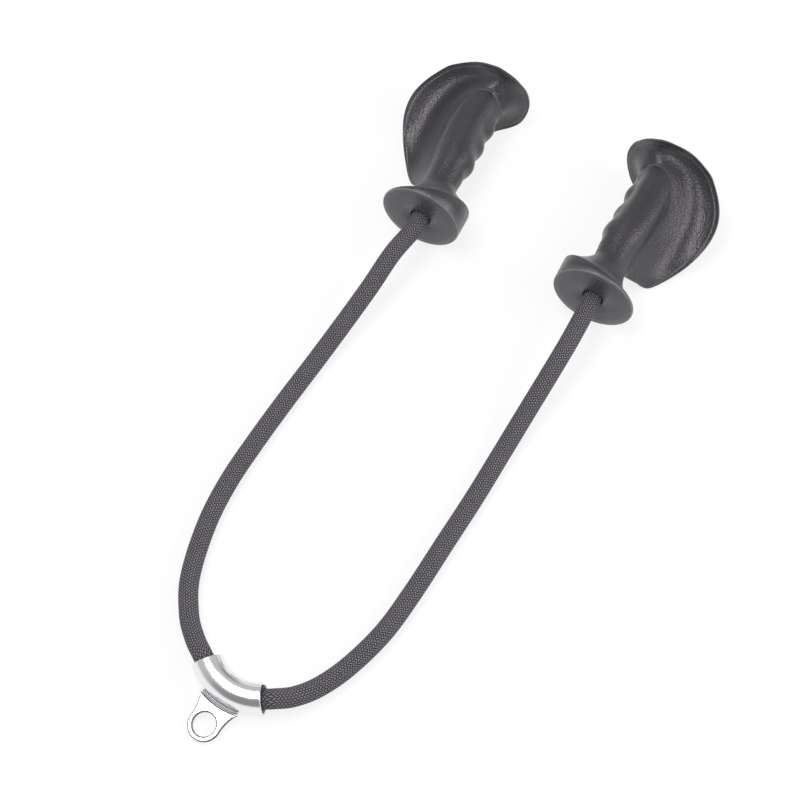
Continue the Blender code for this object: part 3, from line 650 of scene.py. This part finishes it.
def mouth_frame(side, beyond):
    """Z along the rope towards the right mouth, at a distance straight out from one mouth."""
    return bend_frame(side * BEND_ANGLE / 2) @ Matrix.Translation((0, 0, side * beyond))


def rope_at(angle):
    """The rope's middle inside the sleeve, drifting to the bend's outer side at the left mouth."""
    inside = (angle + BEND_ANGLE / 2) * BEND_RADIUS
    return at_bend(angle, BEND_RADIUS + MOUTH_DRIFT * max(0.0, 1 - inside / DRIFT_REACH) ** 2)


def mouth(side):
    """Where a free stretch meets the rope in the sleeve, and the direction out of it."""
    angle = side * BEND_ANGLE / 2
    heading = side * np.array([math.cos(angle), math.sin(angle), 0.0])
    if side > 0:
        place = at_bend(angle) + heading * (RING_WIDTH + 2 * SEAT_GAP)
    else:
        place = rope_at(angle)
        heading += 2 * MOUTH_DRIFT / DRIFT_REACH * np.array([math.sin(angle), -math.cos(angle), 0.0])
        heading /= np.linalg.norm(heading)
    return moved(SLEEVE, place), np.array(SLEEVE.to_3x3()) @ heading


# Camera, at the photograph's angle

CAMERA_PLACE = (0.30359, -0.66358, 1.35469)
CAMERA_AIM = (-0.214046, 0.434999, -0.874620)
FOCAL_PIXELS = 1848.0
FRAME_PIXELS = 800.0
SENSOR_MM = 36.0
FAR_CLIP = 50.0


def add_camera():
    data = bpy.data.cameras.new("camera")
    data.sensor_width = SENSOR_MM
    data.lens = FOCAL_PIXELS / FRAME_PIXELS * SENSOR_MM
    data.clip_end = FAR_CLIP
    camera = bpy.data.objects.new("camera", data)
    bpy.context.scene.collection.objects.link(camera)
    camera.location = CAMERA_PLACE
    camera.rotation_euler = Vector(CAMERA_AIM).to_track_quat("-Z", "Y").to_euler()
    bpy.context.scene.camera = camera


# Materials: colours from dark to light, then roughnesses and the scales of their grain

RUBBER = ((0.0165, 0.016, 0.019), (0.026, 0.0255, 0.030))
# painted highlight colour, laid along the lines that the handle's point attribute marks
HIGHLIGHT_PAINT = (0.15, 0.147, 0.155)
RUBBER_ROUGH = (0.30, 0.38)
RUBBER_TINT = (1.0, 0.97, 1.0)
PEBBLES = 700.0
# rope colours from painted shade in the gaps between stitches, through the rope's charcoal, to a painted
# highlight on the stitch crowns
BRAID_SHADE_TO_HIGHLIGHT = ((0.004, 0.0036, 0.0045), (0.047, 0.0445, 0.051), (0.24, 0.229, 0.255))
BRAID_AT = (0.08, 0.5, 1.0)
RING = ((0.012, 0.012, 0.012), (0.024, 0.024, 0.025))
RING_ROUGH = (0.38, 0.52)
PLASTIC = ((0.020, 0.020, 0.021), (0.030, 0.030, 0.032))
PLASTIC_ROUGH = (0.48, 0.60)
POLISHED = (0.86, 0.85, 0.86)
# steel for the plate's edge walls, far darker than the faces
EDGE_DARKER = (0.22, 0.21, 0.22)
WELDED = (0.60, 0.60, 0.62)
ALLOY = (0.72, 0.73, 0.75)
FINE_BUMP = 0.0001
MOTTLE = (0.3, 0.7)  # the part of a noise's range that a mottled value spreads over


class Look:
    """A node material and short ways to add to it."""

    def __init__(self, name, **sockets):
        self.material = bpy.data.materials.new(name)
        self.material.use_nodes = True
        self.nodes = self.material.node_tree.nodes
        self.links = self.material.node_tree.links
        self.shader = self.nodes["Principled BSDF"]
        for key, value in sockets.items():
            self.shader.inputs[key.replace("_", " ")].default_value = value

    def add(self, kind, *inputs, **settings):
        """A node with its inputs set by place: a value, or another node's output."""
        node = self.nodes.new(kind)
        for key, value in settings.items():
            setattr(node, key, value)
        for slot, value in zip(node.inputs, inputs):
            if value is None:
                continue
            if isinstance(value, bpy.types.NodeSocket):
                self.links.new(value, slot)
            else:
                slot.default_value = value
        return node

    def math(self, operation, *inputs):
        return self.add("ShaderNodeMath", *inputs, operation=operation).outputs[0]

    def ramp(self, value, *stops):
        node = self.add("ShaderNodeValToRGB", value)
        ramp = node.color_ramp
        while len(ramp.elements) < len(stops):
            ramp.elements.new(0.5)
        for element, (place, colour) in zip(ramp.elements, stops):
            element.position = place
            element.color = (*colour, 1) if isinstance(colour, tuple) else (colour, colour, colour, 1)
        return node.outputs[0]

    def mottle(self, value, low, high):
        return self.ramp(value, (MOTTLE[0], low), (MOTTLE[1], high))

    def coordinates(self, output="Object"):
        return self.add("ShaderNodeTexCoord").outputs[output]

    def noise(self, scale, detail=2.0, rough=0.5):
        node = self.add("ShaderNodeTexNoise")
        self.links.new(self.coordinates(), node.inputs["Vector"])
        node.inputs["Scale"].default_value = scale
        node.inputs["Detail"].default_value = detail
        node.inputs["Roughness"].default_value = rough
        return node.outputs[0]

    def cells(self, scale):
        node = self.add("ShaderNodeTexVoronoi", feature="SMOOTH_F1")
        self.links.new(self.coordinates(), node.inputs["Vector"])
        node.inputs["Scale"].default_value = scale
        return node.outputs["Distance"]

    def bump(self, height, strength, distance, under=None):
        node = self.add("ShaderNodeBump")
        node.inputs["Strength"].default_value = strength
        node.inputs["Distance"].default_value = distance
        self.links.new(height, node.inputs["Height"])
        if under:
            self.links.new(under, node.inputs["Normal"])
        self.links.new(node.outputs[0], self.shader.inputs["Normal"])
        return node.outputs[0]

    def drive(self, socket, output):
        self.links.new(output, self.shader.inputs[socket])


def handle_look():
    """Black moulded rubber with a pebbled grain, and a painted highlight: a lighter colour where the point
    attribute marks highlight lines.
    """
    look = Look("handle_moulding", Specular_IOR_Level=0.66, Sheen_Weight=0.1, Specular_Tint=(*RUBBER_TINT, 1))
    plain = look.mottle(look.noise(38.0, 3.0), *RUBBER)
    # painted highlight: a lighter, mottled colour where the point attribute marks the disc's front edge, the
    # line inside the rim and the grip's end
    painted_highlight = look.add("ShaderNodeAttribute", attribute_name="painted_highlight").outputs["Fac"]
    highlighted = look.math("MULTIPLY", painted_highlight, look.math("MULTIPLY_ADD", look.noise(160.0, 3.0), 0.8, 0.35))
    mix = look.add("ShaderNodeMix", data_type="RGBA")
    look.links.new(highlighted, mix.inputs["Factor"])
    look.links.new(plain, mix.inputs[6])
    mix.inputs[7].default_value = (*HIGHLIGHT_PAINT, 1)
    look.drive("Base Color", mix.outputs[2])
    look.drive("Roughness", look.mottle(look.noise(55.0, 4.0), *RUBBER_ROUGH))
    pebbled = look.bump(look.cells(PEBBLES), 0.75, 0.00045)
    look.bump(look.noise(1500.0), 0.35, 2 * FINE_BUMP, pebbled)
    return look.material


def braid_look():
    """Charcoal braid: two families of strands by turns on top, with painted shade in the gaps between
    stitches and a painted highlight in each stitch's middle.
    """
    look = Look("rope_braid", Roughness=0.66, Specular_IOR_Level=0.25)
    split = look.add("ShaderNodeSeparateXYZ", look.coordinates("UV"))
    u, v = split.outputs[0], split.outputs[1]
    one, two = look.math("ADD", u, v), look.math("SUBTRACT", u, v)
    first, second = look.math("FLOOR", one), look.math("FLOOR", two)
    turn = look.math("FLOORED_MODULO", look.math("ADD", first, second), 4.0)
    on_top = look.math("LESS_THAN", turn, 2.0)

    def chosen(a, b):
        under = look.math("MULTIPLY", b, look.math("SUBTRACT", 1.0, on_top))
        return look.math("MULTIPLY_ADD", a, on_top, under)

    across = look.math("FRACT", chosen(one, two))
    passed = chosen(look.math("ADD", two, first), look.math("ADD", look.math("ADD", one, second), 2.0))
    over = look.math("FLOORED_MODULO", passed, 4.0)
    along = look.math("MAXIMUM", look.math("SINE", look.math("MULTIPLY", over, math.pi / 2)), 0.0)
    arch = look.math("SINE", look.math("MULTIPLY", across, math.pi))
    stitch = look.math("MULTIPLY", look.math("POWER", arch, 0.8), look.math("POWER", along, 0.4))
    fuzz = look.noise(1100.0, 4.0, 0.7)
    # painted shade and highlight: the stitch's height, with fuzz, read as colour from dark gaps to lit crowns
    stitch_shading = look.math("MULTIPLY", stitch, look.math("MULTIPLY_ADD", fuzz, 1.1, 0.45))
    look.drive("Base Color", look.ramp(stitch_shading, *zip(BRAID_AT, BRAID_SHADE_TO_HIGHLIGHT)))
    look.bump(look.math("ADD", stitch, look.math("MULTIPLY", fuzz, 0.5)), 0.6, 3 * FINE_BUMP)
    return look.material


def steel_look(name, rough, streak=140.0, colour=POLISHED):
    """Plated steel with a fine, uneven polish."""
    look = Look(name, Metallic=1.0, Base_Color=(*colour, 1))
    look.drive("Roughness", look.mottle(look.noise(streak, 5.0, 0.65), rough * 0.85, rough * 1.2))
    look.bump(look.noise(streak * 16, 3.0), 0.06, FINE_BUMP)
    return look.material


def ring_look():
    look = Look("ring_rubber")
    look.drive("Base Color", look.mottle(look.noise(260.0, 3.0), *RING))
    look.drive("Roughness", look.mottle(look.noise(400.0), *RING_ROUGH))
    look.bump(look.noise(2200.0), 0.12, FINE_BUMP)
    return look.material


def plug_look():
    look = Look("plug_plastic")
    look.drive("Base Color", look.mottle(look.noise(120.0, 3.0), *PLASTIC))
    look.drive("Roughness", look.mottle(look.noise(300.0), *PLASTIC_ROUGH))
    look.bump(look.cells(2 * PEBBLES), 0.2, FINE_BUMP)
    return look.material


# Pieces

DISC_HIGHLIGHT_PAINT = (0.3, 1.7, 0.6)  # strength of the painted highlight on the rows of the disc's front edge
DISC_ROWS = slice(4, 7)
# painted highlight strengths for the line inside the rim and the arc at the grip's end
RIM_HIGHLIGHT_PAINT = 0.42
CREST_HIGHLIGHT_PAINT = 0.75
SMALL_CREASE = 40.0
SOFT_CREASE = 60.0
HANDLE_CREASE = 50.0
NO_CREASE = 180.0


def piece(name, points, faces, look, body, *nodes, slot=None, crease=SMALL_CREASE):
    """A mesh piece that rides on a body and stands for CAD nodes."""
    mesh = bpy.data.meshes.new(name)
    mesh.from_pydata(np.asarray(points).tolist(), [], faces)
    mesh.validate()
    mesh.shade_smooth()
    mesh.set_sharp_from_angle(angle=math.radians(crease))
    mesh.materials.append(look)
    made = bpy.data.objects.new(name, mesh)
    bpy.context.scene.collection.objects.link(made)
    outward(made)
    if body:
        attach(made, body)
    if nodes:
        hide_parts(*nodes)
    return made


def outward(made):
    """Turns the faces of a closed mesh outward if its volume comes out negative."""
    mesh = made.data
    mesh.calc_loop_triangles()
    points = np.empty(len(mesh.vertices) * 3)
    mesh.vertices.foreach_get("co", points)
    points = points.reshape(-1, 3)
    corners = np.empty(len(mesh.loop_triangles) * 3, int)
    mesh.loop_triangles.foreach_get("vertices", corners)
    a, b, c = (points[corners.reshape(-1, 3)[:, k]] for k in range(3))
    if (a * np.cross(b, c)).sum() < 0:
        mesh.flip_normals()


# Rope

STRANDS = 24  # in each of the two families
LAY = 0.0026  # length of rope to a strand's width
BRAID_DEPTH = 0.0004
ROPE_SIDES = 144
ROPE_SPACING = 0.00045
HELD_SIDES = 64
CURVE_STEPS = 200
BEND_STOPS = 24
STRAND_LOW = 0.45  # a strand's height where it dives under another, of its full height
STRAND_ROUND = 0.7  # bluntness of a strand across
STRAND_ARCH = 0.6  # and along, from where it comes up to where it dives


def smooth_line(stops, spacing):
    """Even points along the Catmull-Rom curve through the stops."""
    fine = through(stops, (len(stops) - 1) * CURVE_STEPS + 1)
    run = np.concatenate([[0], np.cumsum(np.linalg.norm(np.diff(fine, axis=0), axis=1))])
    marks = np.linspace(0, run[-1], max(3, round(run[-1] / spacing)) + 1)
    return np.stack([np.interp(marks, run, fine[:, k]) for k in range(3)], 1), marks


def braided(name, line, marks, look, sides=ROPE_SIDES):
    """A braided tube along a line, with its strands in the mesh and the braid's own coordinates as UV."""
    along = np.gradient(line, axis=0)
    along /= np.linalg.norm(along, axis=1)[:, None]
    side = np.cross(along[0], [0.0, 0.0, 1.0])
    sides_at = []
    for d in along:
        side = side - d * (side @ d)
        side /= np.linalg.norm(side)
        sides_at.append(side)
    sides_at = np.array(sides_at)
    ups = np.cross(sides_at, along)
    share = np.arange(sides) / sides
    u = np.broadcast_to(STRANDS * share, (len(line), sides))
    v = np.broadcast_to((marks / LAY)[:, None], (len(line), sides))
    one, two = u + v, u - v
    first = (np.floor(one) + np.floor(two)) % 4 < 2
    across = np.where(first, one % 1, two % 1)
    over = np.where(first, (two + np.floor(one)) % 4, (one + np.floor(two) + 2) % 4)
    dome = np.sin(np.pi * np.clip(over / 2, 0, 1)) ** STRAND_ARCH
    height = np.sin(np.pi * across) ** STRAND_ROUND * (STRAND_LOW + (1 - STRAND_LOW) * dome)
    radius = ROPE_RADIUS - BRAID_DEPTH * (1 - height)
    angle = 2 * np.pi * share
    out = np.cos(angle)[:, None] * sides_at[:, None] + np.sin(angle)[:, None] * ups[:, None]
    points = (line[:, None] + radius[..., None] * out).reshape(-1, 3)
    n = len(line)
    ends = np.array([line[0], line[-1]])
    i, j = np.meshgrid(np.arange(n - 1), np.arange(sides), indexing="ij")
    k = (j + 1) % sides
    here, ahead = i * sides, (i + 1) * sides
    quads = np.stack([here + j, here + k, ahead + k, ahead + j], -1).reshape(-1, 4)
    j = np.arange(sides)
    k = (j + 1) % sides
    top = n * sides
    caps = [(top, int(b), int(a)) for a, b in zip(j, k)]
    caps += [(top + 1, int((n - 1) * sides + a), int((n - 1) * sides + b)) for a, b in zip(j, k)]
    made = piece(name, np.vstack([points, ends]), quads.tolist() + caps, look, None, crease=NO_CREASE)
    mesh = made.data
    corner = np.empty(len(mesh.loops), int)
    mesh.loops.foreach_get("vertex_index", corner)
    first_corner = np.empty(len(mesh.polygons), int)
    counts = np.empty(len(mesh.polygons), int)
    mesh.polygons.foreach_get("loop_start", first_corner)
    mesh.polygons.foreach_get("loop_total", counts)
    column = np.where(corner < top, corner % sides, 0)
    row = np.where(corner < top, corner // sides, 0)
    owner = np.repeat(np.arange(len(counts)), counts)
    seam = np.zeros(len(counts), bool)
    np.maximum.at(seam, owner, column == sides - 1)
    wrapped = seam[owner] & (column == 0)
    uv = np.stack([STRANDS * (column / sides + wrapped), marks[row] / LAY], 1)
    layer = mesh.uv_layers.new(name="braid")
    layer.data.foreach_set("uv", uv.reshape(-1).astype(np.float32))
    return made


def stretch_stops(side, route):
    """Stops of a free stretch, from the disc's face to the sleeve's mouth."""
    face = face_centre(side)
    forward = np.array([0, -1, 0])
    end, heading = mouth(side)
    return [
        face + forward * SEAT_GAP, face + forward * ROUTE_LEAD, *map(np.array, route),
        end + heading * MOUTH_LEAD, end + heading * SEAT_GAP,
    ]


def add_ropes(look):
    for side, label, route in ((-1, "left", LEFT_ROUTE), (1, "right", RIGHT_ROUTE)):
        stops = stretch_stops(side, route)
        line, marks = smooth_line(stops, ROPE_SPACING)
        made = braided(f"{label}_braid", line, marks, look)
        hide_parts(f"rope_{label}")
        end = mouth(side)[0]
        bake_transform(made)
        tail = HANDLE_LENGTH - SOCKET_DEPTH + WASHER_THICKNESS + FERRULE_LENGTH + SEAT_GAP
        inside = np.array([face_centre(side), face_centre(side) + [0, tail, 0]])
        line, marks = smooth_line(inside, ROPE_SPACING * 2)
        held = braided(f"{label}_held_braid", line, marks, look, HELD_SIDES)
        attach(held, f"{label}_leg")
        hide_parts(f"rope_end_{label}")
    half = BEND_ANGLE / 2
    bend = [moved(SLEEVE, rope_at(a)) for a in np.linspace(-half, half, BEND_STOPS)]
    stops = [*bend, mouth(1)[0]]
    line, marks = smooth_line(stops, ROPE_SPACING)
    held = braided("sleeve_braid", line, marks, look)
    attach(held, "sleeve")
    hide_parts("rope_bend")


def painted_highlight_marks():
    """How strongly a moulding's points carry the painted highlight: the disc's front edge, the line inside
    the rim, the grip's end.
    """
    read = spokes()
    rows = len(handle_column(read[0], FIRST_COLUMN))
    painted_highlight = np.zeros((COLUMNS, rows))
    painted_highlight[:, DISC_ROWS] = DISC_HIGHLIGHT_PAINT
    dish = dish_row(rows)
    for k in range(1, LIP_RINGS + 1):
        marked = bead(LIP_ZONE * (1 - k / LIP_RINGS), BEAD_IN, BEAD_HALF)
        painted_highlight[:, dish + DISH_RINGS + k - 1] = RIM_HIGHLIGHT_PAINT * marked
    round_crest = near(read[:, 3], CREST_ANGLE, CREST_SPREAD)
    for k in range(1, CREST_RINGS):
        marked = bead(CREST_ZONE * (1 - k / CREST_RINGS), CREST_IN, CREST_HALF)
        painted_highlight[:, dish - CREST_RINGS + k - 1] = CREST_HIGHLIGHT_PAINT * marked * round_crest
    return painted_highlight.reshape(-1)


def cap_rings(side):
    """The plug in the handle's far end, with a rounded edge and a slightly domed face."""
    fit, edge, soft = SOCKET_RADIUS - SEAT_GAP, PLUG_THICKNESS - PLUG_DOME, PLUG_DOME / 2
    profile = [(fit - PLUG_DOME, 0.0), (fit, PLUG_DOME)]
    for angle in np.linspace(0, math.pi / 2, 7):
        profile.append((fit - soft * (1 - math.cos(angle)), edge + soft * math.sin(angle)))
    profile += [(fit * share, PLUG_THICKNESS - soft * share**2) for share in (0.8, 0.6, 0.4, 0.2, 0.05)]
    return turned(profile, INNER_SIDES, along_bore(side, HANDLE_LENGTH - PLUG_THICKNESS))


def add_handles(look, plug):
    painted_highlight = painted_highlight_marks()
    for side, label in ((-1, "left"), (1, "right")):
        made = piece(
            f"{label}_moulding", *around(handle_rings(side)), look, f"{label}_grip", f"{label}_handle",
            slot="handle_rubber", crease=HANDLE_CREASE,
        )
        # the painted highlight strengths go on the moulding as a point attribute
        made.data.attributes.new("painted_highlight", "FLOAT", "POINT").data.foreach_set("value", painted_highlight.astype(np.float32))
        cap = capped(cap_rings(side))
        piece(f"{label}_cap", *cap, plug, f"{label}_grip", f"{label}_plug", slot="plug_plastic")


RING_STANDS = -0.0001  # the right ring's middle, out from the mouth's lip
RING_LEAN = math.radians(5.0)
PLATE_FACES = 0.9  # cosine to the plate's normal from which a polygon gets the polished face steel; the edge walls get the darker steel


def add_sleeve(tube, plate, darker_edge, weld, rubber):
    skin = around(sleeve_rings())
    piece("bent_tube", *skin, tube, "sleeve", "sleeve_tube", slot="sleeve_steel", crease=SOFT_CREASE)
    made = piece("eye_plate", *around(eye_rings()), plate, "sleeve", "eye_tab", slot="sleeve_steel")
    made.data.materials.append(darker_edge)
    facing = SLEEVE.to_3x3() @ Vector((0, 0, 1))
    for polygon in made.data.polygons:
        polygon.material_index = int(abs(polygon.normal @ facing) < PLATE_FACES)
    piece("weld_bead", *capped(weld_rings()), weld, "sleeve", "eye_weld", slot="weld", crease=SOFT_CREASE)
    fitting = TUBE_RADIUS - TUBE_WALL - SEAT_GAP
    leaning = mouth_frame(1, RING_STANDS) @ Matrix.Rotation(RING_LEAN, 4, "X")
    depth = (RING_INSET + RING_WIDTH / 2) / BEND_RADIUS
    level = bend_frame(depth - BEND_ANGLE / 2)
    for name, label, place in (("standing_ring", "right", leaning), ("seated_ring", "left", level)):
        skin = around(ring_rings(fitting, TUBE_SIDES, place))
        piece(name, *skin, rubber, "sleeve", f"{label}_mouth_ring", slot="ring_rubber", crease=SOFT_CREASE)


def dress_solids(steel, alloy):
    """Materials for the small solids inside the handles."""
    for name, look in (("washer", steel), ("ferrule", alloy)):
        for label in ("left", "right"):
            node = frame["nodes"][f"{label}_{name}"]
            node.data.materials.clear()
            node.data.materials.append(look)


# Floor and light

FLOOR_HALF = 12.0
FLOOR_DROP = 0.0003
FLOOR_COLOUR = (0.97, 0.97, 0.975)
FLOOR_GLOW = 0.8  # the share of the floor that the camera and mirrors see as plain white
ROOM_LEVEL = 0.57
ROOM_COLOUR = (1.0, 0.975, 0.995)
ROOM_PATCHES = (  # towards it, cosines of its soft edge from outside to inside, brightness
    ((-0.02, -0.80, 0.60), (0.81, 0.91), 0.28),
    ((0.0, 0.95, 0.31), (0.93, 0.98), 0.3),
    ((0.0, 0.0, -1.0), (-0.26, -0.17), 1.0),
)
LAMP_COLOUR = (1.0, 0.98, 1.0)
LAMPS = (  # name, place, size, watts
    ("key", (-0.42, -0.14, 1.80), (1.5, 0.70), 19.0),
    ("side", (1.30, 0.35, 0.95), (1.0, 0.8), 9.5),
)


def add_floor():
    """White floor: white to the camera and in mirrors, apart from a share that takes the shadow."""
    mesh = bpy.data.meshes.new("floor")
    corners = [(x * FLOOR_HALF, y * FLOOR_HALF, 0) for x, y in ((-1, -1), (1, -1), (1, 1), (-1, 1))]
    mesh.from_pydata(corners, [], [(0, 1, 2, 3)])
    floor = bpy.data.objects.new("floor", mesh)
    bpy.context.scene.collection.objects.link(floor)
    floor.location.z = -FLOOR_DROP
    look = Look("floor", Roughness=0.9, Base_Color=(*FLOOR_COLOUR, 1), Specular_IOR_Level=0.0)
    path = look.add("ShaderNodeLightPath").outputs
    seen = look.math("MAXIMUM", path["Is Camera Ray"], path["Is Glossy Ray"])
    seen = look.math("MAXIMUM", seen, path["Is Transmission Ray"])
    glow = look.add("ShaderNodeEmission", (1.0, 1.0, 1.0, 1), 1.0)
    share = look.math("MULTIPLY", seen, FLOOR_GLOW)
    mix = look.add("ShaderNodeMixShader", share, look.shader.outputs[0], glow.outputs[0])
    look.links.new(mix.outputs[0], look.nodes["Material Output"].inputs["Surface"])
    mesh.materials.append(look.material)


def add_room():
    """World: a light grey room, darker towards the camera and beyond the handles, and white below."""
    world = bpy.data.worlds.new("studio")
    world.use_nodes = True
    bpy.context.scene.world = world
    nodes, links = world.node_tree.nodes, world.node_tree.links
    towards = nodes.new("ShaderNodeTexCoord").outputs["Generated"]
    level = None
    for place, width, bright in ROOM_PATCHES:
        facing = nodes.new("ShaderNodeVectorMath")
        facing.operation = "DOT_PRODUCT"
        links.new(towards, facing.inputs[0])
        facing.inputs[1].default_value = Vector(place).normalized()
        step = nodes.new("ShaderNodeMapRange")
        step.interpolation_type = "SMOOTHSTEP"
        links.new(facing.outputs["Value"], step.inputs["Value"])
        step.inputs["From Min"].default_value = width[0]
        step.inputs["From Max"].default_value = width[1]
        mix = nodes.new("ShaderNodeMix")
        links.new(step.outputs[0], mix.inputs["Factor"])
        if level is None:
            mix.inputs["A"].default_value = ROOM_LEVEL
        else:
            links.new(level, mix.inputs["A"])
        mix.inputs["B"].default_value = bright
        level = mix.outputs["Result"]
    back = nodes["Background"]
    back.inputs["Color"].default_value = (*ROOM_COLOUR, 1)
    links.new(level, back.inputs["Strength"])


def add_lamps():
    for name, place, size, watts in LAMPS:
        data = bpy.data.lights.new(name, "AREA")
        data.shape = "RECTANGLE"
        data.size, data.size_y = size
        data.energy = watts
        data.color = LAMP_COLOUR
        lamp = bpy.data.objects.new(name, data)
        bpy.context.scene.collection.objects.link(lamp)
        lamp.location = place
        lamp.rotation_euler = (-Vector(place)).to_track_quat("-Z", "Y").to_euler()


bpy.context.scene.view_settings.view_transform = "Standard"
add_camera()
add_ropes(braid_look())
add_handles(handle_look(), plug_look())
add_sleeve(
    steel_look("sleeve_polish", 0.18),
    steel_look("plate_polish", 0.24),
    steel_look("plate_darker_edge", 0.42, 300.0, EDGE_DARKER),
    steel_look("weld_steel", 0.4, 300.0, WELDED),
    ring_look(),
)
dress_solids(steel_look("washer_zinc", 0.35), steel_look("ferrule_alloy", 0.4, 200.0, ALLOY))
add_floor()
add_room()
add_lamps()

bpy.context.view_layer.update()
